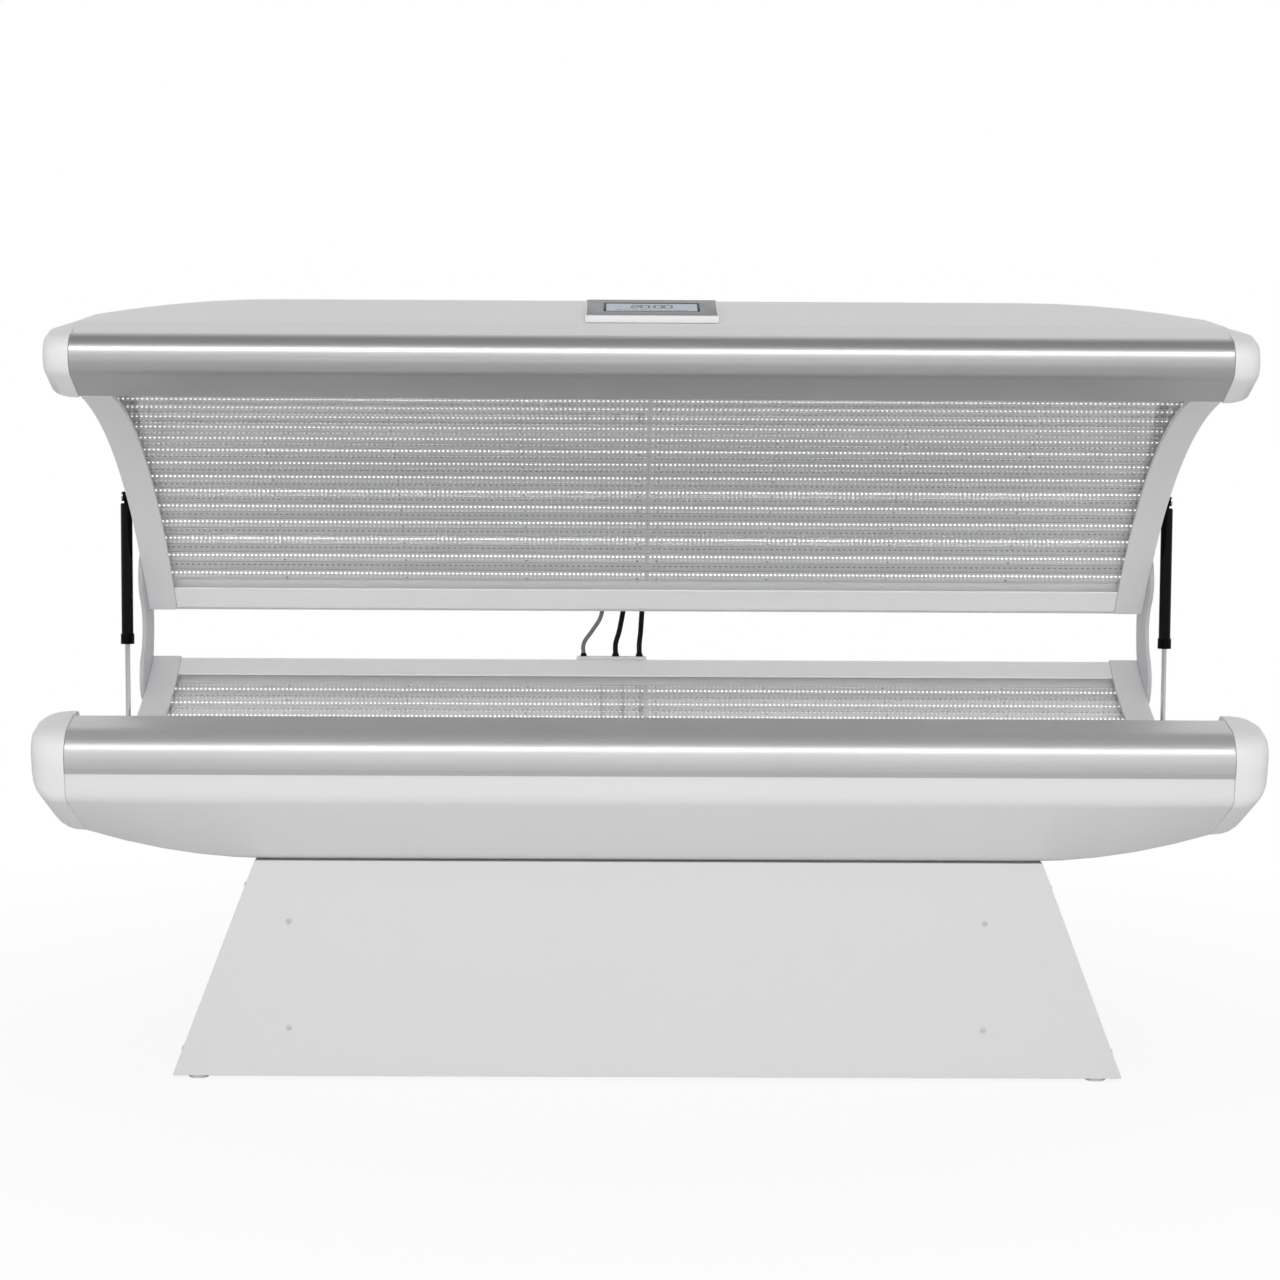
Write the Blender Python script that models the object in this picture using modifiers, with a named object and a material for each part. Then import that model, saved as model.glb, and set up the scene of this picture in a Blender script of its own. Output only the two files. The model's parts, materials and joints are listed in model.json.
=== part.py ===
"""Clamshell light therapy bed, shown open.

A bench and a hinged canopy share one construction: a moulded shell, a bright front trim,
moulded end caps, curved cheeks, a clear curved sheet and a tray of LED boards between steel
end frames. The bench stands on a sheet metal pedestal. Two crescent arms carry the canopy on
pins, and two gas struts hold it up.

Units are metres. +X runs along the bed, -Y is the front, +Z is up, the floor is z = 0.
"""

import math

import bmesh
import bpy
from mathutils import Matrix, Vector

MM = 0.001

# Overall sizes
OVERALL_LENGTH = 2216 * MM
OVERALL_WIDTH = 1157 * MM
BENCH_CAP_THICKNESS = 65 * MM
BENCH_CAP_SQUARENESS = 2.7
CANOPY_CAP_THICKNESS = 50 * MM
CANOPY_CAP_SQUARENESS = 2.4
CANOPY_CAP_STEP = 12 * MM
PEDESTAL_HEIGHT = 412 * MM
FIT = 0.3 * MM
BODY_END = OVERALL_LENGTH / 2 - BENCH_CAP_THICKNESS
NOSE_Y = -OVERALL_WIDTH / 2
REAR_Y = OVERALL_WIDTH / 2

# Walls and sheets
SHELL_WALL = 4 * MM
TRIM_WALL = 3 * MM
CHEEK_WALL = 10 * MM
CHEEK_WIDTH = 58 * MM
RAIL_WALL = 4 * MM
CLEAR_SHEET_WALL = 6 * MM
END_FRAME_WALL = 8 * MM

# Bench section, above the hull's bottom and behind the nose
BENCH_LIP_HEIGHT = 282 * MM
BENCH_LIP_DEPTH = 119 * MM
BENCH_TRIM_NOSE_HEIGHT = 257 * MM
BENCH_TRIM_BOTTOM_HEIGHT = 188 * MM
BENCH_TROUGH_SAG = 115 * MM
BENCH_BAND_SETBACK = 18 * MM
BENCH_BAND_HEIGHT = 140 * MM
BENCH_FLOOR_FRONT = 235 * MM
BENCH_FLOOR_REAR = 232 * MM
BENCH_END_RISE = 53 * MM
BENCH_CAP_TOP_REACH = 300 * MM
BENCH_CAP_TOP_HEIGHT = 190 * MM
BENCH_CAP_REACH = 500 * MM

# Canopy section, in its closed attitude, measured from the hinge pin
CANOPY_LIP_REACH = 880 * MM
CANOPY_LIP_DROP = 66.5 * MM
CANOPY_NOSE_RADIUS = 40 * MM
CANOPY_NOSE_CENTRE_REACH = 985 * MM
CANOPY_NOSE_CENTRE_DROP = 40 * MM
CANOPY_TRIM_TOP_ANGLE = math.radians(-237)
CANOPY_BAND_REACH = 978 * MM
CANOPY_BAND_HEIGHT = 34 * MM
CANOPY_ARCH_RISE = 76 * MM
CANOPY_CROWN_HEIGHT = 243 * MM
CANOPY_CROWN_FRONT = 735 * MM
CANOPY_REAR_OVERHANG = 100 * MM
CANOPY_END_DROP = 44 * MM

# Shell ends: both shells stay straight over the middle and taper towards the caps
STRAIGHT_LENGTH = 1400 * MM
TUCK = 28 * MM

# Hinge
PIVOT_FROM_REAR = 152 * MM
PIVOT_ABOVE_BENCH_FLOOR = 473 * MM
OPEN_ANGLE = math.radians(30)
HINGE_ARM_WALL = 8 * MM
HINGE_ARM_WIDTH = 116 * MM
HINGE_ARM_SPAN = 208 * MM
HINGE_ARM_BOW = 50 * MM
HINGE_PIN_DIAMETER = 16 * MM
HINGE_PIN_HEAD = 30 * MM
BUSH_WALL = 3 * MM

# Gas struts: upper stud seen from the pivot with the canopy open, lower stud below it
STRUT_STUD_FORWARD = 84 * MM
STRUT_STUD_UP = 169 * MM
STRUT_OPEN_LENGTH = 509 * MM
STRUT_STANDOFF = 27 * MM
STRUT_BARREL_DIAMETER = 24 * MM
STRUT_BARREL_LENGTH = 290 * MM
STRUT_COLLAR_DIAMETER = 28 * MM
STRUT_ROD_DIAMETER = 10 * MM
STRUT_ROD_INSIDE = 60 * MM
STRUT_STROKE = 58 * MM
STRUT_EYE_DIAMETER = 20 * MM
STRUT_EYE_WIDTH = 12 * MM
STRUT_NECK = 14 * MM
STUD_DIAMETER = 8 * MM
LOWER_EYE_DIAMETER = 26 * MM
LOWER_EYE_PLAY = 3.5 * MM

# LED trays
LED_PITCH = 56 * MM
LED_BOARD_WIDTH = 29.5 * MM
DRIVER_BOARD_WIDTH = 23.5 * MM
LED_BOARD_WALL = 4 * MM
LED_TRAY_WALL = 3 * MM
LED_GAP_TO_SHEET = 12 * MM
LED_EDGE_MARGIN = 46 * MM

# Pedestal
PEDESTAL_TOP_WIDTH = 1462 * MM
PEDESTAL_FOOT_WIDTH = 1772 * MM
PEDESTAL_FRONT_SETBACK = 225 * MM
PEDESTAL_REAR_SETBACK = 227 * MM
SKIRT_WALL = 2 * MM
SKIRT_FLOOR_GAP = 6 * MM
FRAME_TUBE = 40 * MM
FOOT_HEIGHT = 30 * MM
FOOT_PAD_DIAMETER = 38 * MM
SHELF_WALL = 3 * MM
SHELF_LENGTH = 1180 * MM
SUPPLY_LENGTH = 240 * MM
SUPPLY_DEPTH = 118 * MM
SUPPLY_HEIGHT = 62 * MM
SUPPLY_SPACING = 620 * MM

# Cooling fan and power inlet on the rear skirt
FAN_SIZE = 172 * MM
FAN_DEPTH = 50 * MM
FAN_BORE = 158 * MM
FAN_HEIGHT = 230 * MM
FAN_X = -330 * MM
FAN_HUB_DIAMETER = 70 * MM
FAN_SHAFT_DIAMETER = 8 * MM
FAN_BLADES = 7
FAN_TIP_GAP = 3 * MM
INLET_WIDTH = 48 * MM
INLET_HEIGHT = 28 * MM
INLET_X = 480 * MM

# Control panel on the canopy's front slope
PANEL_WIDTH = 244 * MM
PANEL_LENGTH = 172 * MM
PANEL_THICKNESS = 14 * MM
PANEL_FROM_BAND = 10 * MM
DISPLAY_WIDTH = 176 * MM
DISPLAY_LENGTH = 92 * MM
DISPLAY_WALL = 3 * MM
DISPLAY_FROM_TOP = 36 * MM

# Leads between the canopy and the bench. A route's points are chosen by eye: along X, back from
# the bench's rear, and up from the hull's bottom.
GROMMET_WIDTH = 22 * MM
GROMMET_THICKNESS = 8 * MM
POWER_LEAD_DIAMETER = 11 * MM
SIGNAL_LEAD_DIAMETER = 9 * MM
POWER_LEAD_ROUTE = (
    (-0.0470, -0.0590, 0.4170),
    (-0.0470, -0.0425, 0.4075),
    (-0.0490, -0.0298, 0.3907),
    (-0.0520, -0.0229, 0.3729),
    (-0.0570, -0.0215, 0.3480),
    (-0.0640, -0.0215, 0.3230),
    (-0.0640, -0.0215, 0.2966),
)
EARTH_LEAD_ROUTE = (
    (-0.0080, -0.0590, 0.4170),
    (-0.0080, -0.0425, 0.4075),
    (-0.0085, -0.0298, 0.3907),
    (-0.0095, -0.0229, 0.3729),
    (-0.0110, -0.0215, 0.3480),
    (-0.0135, -0.0215, 0.3230),
    (-0.0135, -0.0215, 0.2966),
)
SIGNAL_LEAD_ROUTE = (
    (-0.0900, -0.0590, 0.4170),
    (-0.0900, -0.0425, 0.4075),
    (-0.0935, -0.0298, 0.3907),
    (-0.0995, -0.0229, 0.3729),
    (-0.1160, -0.0215, 0.3480),
    (-0.1320, -0.0215, 0.3230),
    (-0.1320, -0.0215, 0.2966),
)

# Facets
CORNER_STEPS = 5
ARC_STEPS = 36
ROUND_STEPS = 24
DOME_STEPS = 8
NOSE_STEPS = 12

SIDES = (("left", -1), ("right", 1))
PIVOT = Vector((0, REAR_Y - PIVOT_FROM_REAR, PEDESTAL_HEIGHT + PIVOT_ABOVE_BENCH_FLOOR))
STRUT_X = BODY_END + STRUT_STANDOFF

# Surface finishes: colour, roughness, metallic
FINISHES = {
    "white_shell": ((0.83, 0.83, 0.84, 1), 0.32, 0.0),
    "white_cap": ((0.87, 0.87, 0.87, 1), 0.38, 0.0),
    "white_cheek": ((0.74, 0.74, 0.75, 1), 0.42, 0.0),
    "satin_aluminium": ((0.66, 0.66, 0.67, 1), 0.30, 1.0),
    "clear_acrylic": ((0.90, 0.92, 0.93, 0.25), 0.05, 0.0),
    "led_board": ((0.55, 0.55, 0.56, 1), 0.50, 0.2),
    "painted_sheet": ((0.77, 0.77, 0.77, 1), 0.50, 0.0),
    "painted_steel": ((0.70, 0.70, 0.71, 1), 0.45, 0.3),
    "bright_steel": ((0.72, 0.72, 0.73, 1), 0.22, 1.0),
    "black_paint": ((0.02, 0.02, 0.02, 1), 0.30, 0.0),
    "black_plastic": ((0.03, 0.03, 0.03, 1), 0.45, 0.0),
    "black_rubber": ((0.03, 0.03, 0.03, 1), 0.60, 0.0),
    "grey_rubber": ((0.25, 0.25, 0.26, 1), 0.60, 0.0),
    "bronze": ((0.55, 0.42, 0.22, 1), 0.35, 1.0),
    "display_glass": ((0.55, 0.68, 0.76, 1), 0.12, 0.0),
}


def clear_scene():
    for obj in list(bpy.data.objects):
        bpy.data.objects.remove(obj)


def new_collection(name):
    collection = bpy.data.collections.new(name)
    bpy.context.scene.collection.children.link(collection)
    return collection


def finish(name):
    """The material of that name, made once."""
    if name in bpy.data.materials:
        return bpy.data.materials[name]
    colour, roughness, metallic = FINISHES[name]
    material = bpy.data.materials.new(name)
    material.use_nodes = True
    shader = material.node_tree.nodes["Principled BSDF"]
    shader.inputs["Base Color"].default_value = colour
    shader.inputs["Roughness"].default_value = roughness
    shader.inputs["Metallic"].default_value = metallic
    return material


def add(name, data, material=None, parent=None):
    """Link a new object to the bed, or as a hidden cutter where it has no material."""
    obj = bpy.data.objects.new(name, data)
    if material is None:
        CUTTERS.objects.link(obj)
        obj.hide_render = True
        obj.display_type = "WIRE"
    else:
        BED.objects.link(obj)
        data.materials.append(finish(material))
    obj.parent = parent
    return obj


def empty(name, location, turn_x=0.0, parent=None):
    obj = bpy.data.objects.new(name, None)
    BED.objects.link(obj)
    obj.location = location
    obj.rotation_euler = (turn_x, 0, 0)
    obj.parent = parent
    return obj


def smooth(mesh, angle=35):
    mesh.shade_smooth()
    mesh.set_sharp_from_angle(angle=math.radians(angle))


def mesh_from(bm, name, smooth_angle=35):
    mesh = bpy.data.meshes.new(name)
    bm.to_mesh(mesh)
    bm.free()
    smooth(mesh, smooth_angle)
    return mesh


def rounded(corners):
    """A line through (y, z, radius) corners, with an arc at each corner that has a radius."""
    points = []
    last = len(corners) - 1
    for i, (y, z, radius) in enumerate(corners):
        corner = Vector((y, z))
        if radius == 0 or i in (0, last):
            points.append(corner)
            continue
        before = corner - Vector(corners[i - 1][:2])
        after = Vector(corners[i + 1][:2]) - corner
        turn = before.angle_signed(after)
        room_before = before.length * (0.98 if i == 1 else 0.49)
        room_after = after.length * (0.98 if i == last - 1 else 0.49)
        reach = min(abs(radius * math.tan(turn / 2)), room_before, room_after)
        radius = abs(reach / math.tan(turn / 2))
        start = corner - before.normalized() * reach
        side = -1 if turn > 0 else 1
        normal = Vector((-before.y, before.x)).normalized() * side
        centre = start + normal * radius
        for step in range(CORNER_STEPS + 1):
            spoke = start - centre
            spoke.rotate(Matrix.Rotation(-turn * step / CORNER_STEPS, 2))
            points.append(centre + spoke)
    return points


def offset(points, distance):
    """An open line moved to its left by a distance, with mitred corners."""
    moved = []
    for i, point in enumerate(points):
        lines = []
        if i > 0:
            lines.append((point - points[i - 1]).normalized())
        if i < len(points) - 1:
            lines.append((points[i + 1] - point).normalized())
        along = sum(lines, Vector((0, 0))).normalized()
        mitre = max(along.dot(lines[0]), 0.5)
        moved.append(point + Vector((-along.y, along.x)) * distance / mitre)
    return moved


def circle(centre, radius, steps=ROUND_STEPS):
    turns = [2 * math.pi * i / steps for i in range(steps)]
    return [Vector((centre[0] + radius * math.cos(a), centre[1] + radius * math.sin(a))) for a in turns]


def arc_between(start, end, bulge):
    """Centre, radius and end angles of the arc that stands bulge to the left of its chord."""
    chord = end - start
    half = chord.length / 2
    radius = (half * half + bulge * bulge) / (2 * abs(bulge))
    left = Vector((-chord.y, chord.x)).normalized() * math.copysign(1, bulge)
    centre = (start + end) / 2 + left * (abs(bulge) - radius)
    first = math.atan2(start.y - centre.y, start.x - centre.x)
    last = math.atan2(end.y - centre.y, end.x - centre.x)
    turn = (last - first + math.pi) % (2 * math.pi) - math.pi
    return centre, radius, first, turn


def loft(name, sections, flip=False, closed=False):
    """A skin through sections of equal point count, closed at the ends where they are rings."""
    bm = bmesh.new()
    rows = [[bm.verts.new(point) for point in section] for section in sections]
    for near, far in zip(rows, rows[1:]):
        count = len(near)
        for i in range(count if closed else count - 1):
            j = (i + 1) % count
            bm.faces.new((near[i], near[j], far[j], far[i]))
    if closed:
        bm.faces.new(rows[0])
        bm.faces.new(rows[-1])
        bmesh.ops.recalc_face_normals(bm, faces=bm.faces)
    elif flip:
        bmesh.ops.reverse_faces(bm, faces=bm.faces)
    return mesh_from(bm, name)


def thicken(obj, wall, outwards):
    solidify = obj.modifiers.new("wall", "SOLIDIFY")
    solidify.thickness = wall
    solidify.offset = 1 if outwards else -1
    solidify.use_even_offset = True
    solidify.use_quality_normals = True


def sheet(name, path, x_low, x_high, wall, material, half, outwards):
    """A bent sheet: a section line run along X and given its wall."""
    sections = [[Vector((x, p.x, p.y)) for p in path] for x in (x_low, x_high)]
    obj = add(name, loft(name, sections, half["flip"]), material, half["parent"])
    thicken(obj, wall, outwards)
    return obj


def plate_mesh(name, loops, low, high, plane):
    """A flat plate with holes as a mesh. Loops lie in the YZ plane ("X") or the XZ plane ("Y")."""
    curve = bpy.data.curves.new(name, "CURVE")
    curve.dimensions = "2D"
    curve.fill_mode = "BOTH"
    curve.extrude = (high - low) / 2
    for loop in loops:
        spline = curve.splines.new("POLY")
        spline.points.add(len(loop) - 1)
        spline.use_cyclic_u = True
        for point, place in zip(spline.points, loop):
            point.co = (place[0], place[1], 0, 1)
    holder = bpy.data.objects.new(name, curve)
    mesh = bpy.data.meshes.new_from_object(holder)
    bpy.data.objects.remove(holder)
    bpy.data.curves.remove(curve)
    middle = (low + high) / 2
    if plane == "X":
        turn = Matrix(((0, 0, 1, middle), (1, 0, 0, 0), (0, 1, 0, 0), (0, 0, 0, 1)))
    else:
        turn = Matrix(((1, 0, 0, 0), (0, 0, -1, middle), (0, 1, 0, 0), (0, 0, 0, 1)))
    bm = bmesh.new()
    bm.from_mesh(mesh)
    bpy.data.meshes.remove(mesh)
    bmesh.ops.remove_doubles(bm, verts=bm.verts, dist=0.00001)
    bmesh.ops.transform(bm, matrix=turn, verts=bm.verts)
    return mesh_from(bm, name)


def turned(name, profile, steps=ROUND_STEPS):
    """A solid turned about local Z from (radius, height) points, listed from the top down."""
    bm = bmesh.new()
    points = [bm.verts.new((radius, 0, height)) for radius, height in profile]
    for one, two in zip(points, points[1:]):
        bm.edges.new((one, two))
    geom = bm.verts[:] + bm.edges[:]
    bmesh.ops.spin(bm, geom=geom, cent=(0, 0, 0), axis=(0, 0, 1), angle=2 * math.pi, steps=steps, use_merge=True)
    bmesh.ops.remove_doubles(bm, verts=bm.verts, dist=0.00001)
    bmesh.ops.recalc_face_normals(bm, faces=bm.faces)
    return mesh_from(bm, name)


def block(name, size, centre, bevel=0.0):
    bm = bmesh.new()
    bmesh.ops.create_cube(bm, size=1)
    bmesh.ops.scale(bm, vec=size, verts=bm.verts)
    if bevel:
        bmesh.ops.bevel(bm, geom=bm.edges[:], offset=bevel, segments=2, profile=0.5, affect="EDGES")
    bmesh.ops.translate(bm, vec=centre, verts=bm.verts)
    return mesh_from(bm, name)


def rod_along(name, radius, low, high, axis, centre=(0, 0, 0), steps=ROUND_STEPS):
    """A plain cylinder from low to high along X, Y or Z through a centre."""
    bm = bmesh.new()
    bmesh.ops.create_cone(
        bm, cap_ends=True, segments=steps, radius1=radius, radius2=radius, depth=high - low
    )
    turn = Matrix.Identity(4)
    if axis == "X":
        turn = Matrix.Rotation(math.pi / 2, 4, "Y")
    if axis == "Y":
        turn = Matrix.Rotation(-math.pi / 2, 4, "X")
    shift = Vector(centre)
    shift["XYZ".index(axis)] = (low + high) / 2
    bmesh.ops.transform(bm, matrix=Matrix.Translation(shift) @ turn, verts=bm.verts)
    return mesh_from(bm, name)


def combine(obj, tool_mesh, operation, tool_name):
    """Cut a tool out of an object, or join it on."""
    tool = add(tool_name, tool_mesh, parent=obj.parent)
    tool.matrix_local = obj.matrix_local
    modifier = obj.modifiers.new(tool_name, "BOOLEAN")
    modifier.operation = operation
    modifier.object = tool
    modifier.solver = "EXACT"
    return tool


def bench_half():
    """Section lines of the bench, in world coordinates."""
    floor = PEDESTAL_HEIGHT
    lip = floor + BENCH_LIP_HEIGHT
    rear_lip = lip + 6 * MM
    trim = [
        (NOSE_Y + BENCH_LIP_DEPTH + 5 * MM, lip - 20 * MM, 0),
        (NOSE_Y + BENCH_LIP_DEPTH, lip, 6 * MM),
        (NOSE_Y - 14 * MM, floor + BENCH_TRIM_NOSE_HEIGHT, 55 * MM),
        (NOSE_Y + 8 * MM, floor + BENCH_TRIM_BOTTOM_HEIGHT, 0),
    ]
    front = Vector((NOSE_Y + BENCH_LIP_DEPTH + 11 * MM, lip - 22 * MM))
    rear = Vector((REAR_Y - 72 * MM, rear_lip))

    def shell(taper):
        bottom = floor + BENCH_END_RISE * taper
        return [
            (NOSE_Y + BENCH_BAND_SETBACK, floor + BENCH_BAND_HEIGHT, 35 * MM),
            (NOSE_Y + BENCH_FLOOR_FRONT, bottom, 60 * MM),
            (REAR_Y - BENCH_FLOOR_REAR, bottom, 60 * MM),
            (REAR_Y, floor + BENCH_TRIM_BOTTOM_HEIGHT, 40 * MM),
        ]

    return {
        "name": "bench",
        "parent": None,
        "flip": False,
        "up": 1,
        "trim": rounded(trim),
        "shell": shell,
        "rear_edge": [(REAR_Y, rear_lip, 12 * MM), (REAR_Y - 34 * MM, rear_lip, 0)],
        "shoulder": (REAR_Y, lip - 22 * MM, 0),
        "arc": arc_between(front, rear, -BENCH_TROUGH_SAG),
    }


def canopy_nose(proud=0.0):
    """The round nose of the canopy's trim, from its flat underside to its top edge."""
    centre = Vector((-CANOPY_NOSE_CENTRE_REACH, -CANOPY_NOSE_CENTRE_DROP))
    radius = CANOPY_NOSE_RADIUS + proud
    lip = Vector((-CANOPY_LIP_REACH, -CANOPY_LIP_DROP - proud)) - centre
    first = math.atan2(lip.y, lip.x) - math.acos(radius / lip.length)
    turn = CANOPY_TRIM_TOP_ANGLE - first
    angles = [first + turn * i / NOSE_STEPS for i in range(NOSE_STEPS + 1)]
    return [centre + Vector((math.cos(a), math.sin(a))) * radius for a in angles]


def canopy_half(parent):
    """Section lines of the canopy, measured from the pivot in the closed attitude."""
    lip = -CANOPY_LIP_DROP
    nose = canopy_nose()
    underside = [
        (-CANOPY_LIP_REACH + 3 * MM, lip + 12 * MM, 0),
        (-CANOPY_LIP_REACH, lip, 6 * MM),
        (*nose[0], 0),
    ]
    front = Vector((-CANOPY_LIP_REACH + 10 * MM, lip + 5 * MM))
    rear = Vector((CANOPY_REAR_OVERHANG - 50 * MM, lip + 26 * MM))
    rear_low = lip + 34 * MM

    def shell(taper):
        crown = CANOPY_CROWN_HEIGHT - CANOPY_END_DROP * taper
        return [
            (-CANOPY_BAND_REACH, CANOPY_BAND_HEIGHT, 40 * MM),
            (-CANOPY_CROWN_FRONT, crown, 250 * MM),
            (CANOPY_REAR_OVERHANG - 150 * MM, crown, 160 * MM),
            (CANOPY_REAR_OVERHANG, 75 * MM, 80 * MM),
        ]

    return {
        "name": "canopy",
        "parent": parent,
        "flip": True,
        "up": -1,
        "trim": rounded(underside)[:-1] + nose,
        "shell": shell,
        "rear_edge": [
            (CANOPY_REAR_OVERHANG, rear_low, 8 * MM),
            (CANOPY_REAR_OVERHANG - 12 * MM, rear_low, 0),
        ],
        "shoulder": (CANOPY_REAR_OVERHANG, lip + 60 * MM, 0),
        "arc": arc_between(front, rear, CANOPY_ARCH_RISE),
    }


def last_stretch(points, length):
    """The end of a line, cut to a length."""
    kept = [points[-1]]
    for point in reversed(points[:-1]):
        step = (kept[0] - point).length
        if step >= length:
            return [kept[0] + (point - kept[0]) * length / step, *kept]
        kept.insert(0, point)
        length -= step
    return kept


def shell_line(half, taper, to_rear_edge=True):
    """The outer skin from behind the trim's free edge round to the rear."""
    lining = offset(half["trim"], half["up"] * (TRIM_WALL + FIT))
    tucked = last_stretch(lining, TUCK)
    end = lining[-1]
    leave = end + (end - lining[-2]).normalized() * 2 * MM
    rear = half["rear_edge"] if to_rear_edge else [half["shoulder"]]
    return tucked[:-1] + rounded([(*end, 0), (*leave, 8 * MM), *half["shell"](taper), *rear])


def taper_at(x):
    """0 over the straight middle of a shell, 1 at its end."""
    past = max(abs(x) - STRAIGHT_LENGTH / 2, 0)
    return (past / (BODY_END - STRAIGHT_LENGTH / 2)) ** 2


def shell_stations():
    straight = STRAIGHT_LENGTH / 2
    steps = 5
    outer = [straight + (BODY_END - straight) * i / steps for i in range(steps + 1)]
    return [-x for x in reversed(outer)] + outer


def arc_line(half, lift, from_front=0.0, from_rear=0.0, steps=ARC_STEPS):
    """Points along the trough or arch, lift away from the user, front to rear."""
    centre, radius, first, turn = half["arc"]
    way = math.copysign(1, turn)
    start = first + way * from_front / radius
    sweep = turn - way * (from_front + from_rear) / radius
    reach = radius + lift
    angles = [start + sweep * i / steps for i in range(steps + 1)]
    return [centre + Vector((math.cos(a), math.sin(a))) * reach for a in angles]


def rolled_lip(half, lift):
    """The rear lip: the arc runs on along its tangent, then rolls away from the user."""
    run = 22 * MM
    fall = 14 * MM
    line = arc_line(half, lift)
    end = line[-1]
    along = (end - line[-2]).normalized()
    away = (end - half["arc"][0]).normalized()
    crest = end + along * run
    tip = crest + (away * 0.94 + along * 0.34) * fall
    return rounded([(*end, 0), (*crest, 11 * MM), (*tip, 0)])[1:]


def make_shell(half):
    name = half["name"] + "_shell"
    sections = []
    for x in shell_stations():
        sections.append([Vector((x, p.x, p.y)) for p in shell_line(half, taper_at(x))])
    obj = add(name, loft(name, sections, half["flip"]), "white_shell", half["parent"])
    thicken(obj, SHELL_WALL, outwards=False)
    return obj


def make_trim(half):
    name = half["name"] + "_front_trim"
    sheet(name, half["trim"], -BODY_END, BODY_END, TRIM_WALL, "satin_aluminium", half, outwards=False)


def make_clear_sheet(half):
    ends = BODY_END - END_FRAME_WALL - FIT
    path = arc_line(half, CHEEK_WALL + FIT, from_front=2 * MM, from_rear=2 * MM)
    name = half["name"] + "_clear_sheet"
    sheet(name, path, -ends, ends, CLEAR_SHEET_WALL, "clear_acrylic", half, outwards=True)


def make_cheeks(half):
    """Curved end strips that hold the clear sheet down and roll over the rear lip."""
    path = arc_line(half, 0) + rolled_lip(half, 0)
    for side, sign in SIDES:
        low, high = sorted((sign * BODY_END, sign * (BODY_END - CHEEK_WIDTH)))
        name = f"{half['name']}_{side}_cheek"
        sheet(name, path, low, high, CHEEK_WALL, "white_cheek", half, outwards=True)


def make_rear_rail(half):
    lift = CHEEK_WALL - RAIL_WALL
    arc_length = abs(half["arc"][3]) * half["arc"][1]
    path = arc_line(half, lift, from_front=arc_length - 40 * MM, steps=4) + rolled_lip(half, lift)
    ends = BODY_END - CHEEK_WIDTH - FIT
    name = half["name"] + "_rear_rail"
    sheet(name, path, -ends, ends, RAIL_WALL, "white_cheek", half, outwards=True)


def make_led_tray(half):
    """A curved aluminium tray with even rows of raised boards: a driver board, then its LED board."""
    centre, radius, first, turn = half["arc"]
    way = math.copysign(1, turn)
    face = CHEEK_WALL + FIT + CLEAR_SHEET_WALL + LED_GAP_TO_SHEET
    base = face + LED_BOARD_WALL
    back = base + LED_TRAY_WALL
    usable = abs(turn) * radius - 2 * LED_EDGE_MARGIN
    rows = int(usable / LED_PITCH)
    middle = first + turn / 2

    def point(lift, distance):
        angle = middle + way * distance / radius
        return centre + Vector((math.cos(angle), math.sin(angle))) * (radius + lift)

    reach = abs(turn) * radius / 2 - 6 * MM
    groove = (LED_PITCH - LED_BOARD_WIDTH - DRIVER_BOARD_WIDTH) / 2
    outline = [point(base, -reach)]
    for row in range(rows, 0, -1):
        near = usable / 2 - row * LED_PITCH + groove
        for width in (DRIVER_BOARD_WIDTH, LED_BOARD_WIDTH):
            far = near + width
            outline += [point(base, near), point(face, near), point(face, far), point(base, far)]
            near = far + groove
    outline.append(point(base, reach))
    for step in range(rows + 1):
        outline.append(point(back, reach - 2 * reach * step / rows))
    ends = BODY_END - END_FRAME_WALL - FIT
    name = half["name"] + "_led_tray"
    add(name, plate_mesh(name, [outline], -ends, ends, "X"), "led_board", half["parent"])


def end_frame_outline(half):
    """The steel end plate: inside the trim and the shell, and just under the cheek."""
    inward = half["up"]
    skin = offset(shell_line(half, 1.0, to_rear_edge=False), inward * (SHELL_WALL + FIT))
    edge = skin[0].y + inward * 4 * MM
    lining = offset(half["trim"], inward * (TRIM_WALL + FIT))
    below_return = lining[0] + (lining[0] - lining[1]).normalized() * 2 * MM
    nose = [below_return] + [p for p in lining[1:] if (p.y - edge) * inward > 0]
    top = arc_line(half, CHEEK_WALL + FIT, from_front=-2 * MM, from_rear=1 * MM)
    return nose + skin + top[::-1]


def make_end_frames(half, holes):
    for side, sign in SIDES:
        low, high = sorted((sign * BODY_END, sign * (BODY_END - END_FRAME_WALL)))
        name = f"{half['name']}_{side}_end_frame"
        loops = [end_frame_outline(half), *holes]
        add(name, plate_mesh(name, loops, low, high, "X"), "painted_steel", half["parent"])


def make_end_caps(half, outline, centre, thickness, squareness, shrink):
    """Moulded caps on the front corner of each end, domed towards a point near the nose."""
    for side, sign in SIDES:
        sections = []
        for step in range(DOME_STEPS + 1):
            turn = math.pi / 2 * step / DOME_STEPS
            bulge = math.sin(turn) ** (2 / squareness)
            x = sign * (BODY_END + FIT + (thickness - FIT) * bulge)
            scale = shrink + (1 - shrink) * math.cos(turn) ** (2 / squareness)
            ring = [centre + (p - centre) * scale for p in outline]
            sections.append([Vector((x, p.x, p.y)) for p in ring])
        name = f"{half['name']}_{side}_end_cap"
        add(name, loft(name, sections, closed=True), "white_cap", half["parent"])


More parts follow.
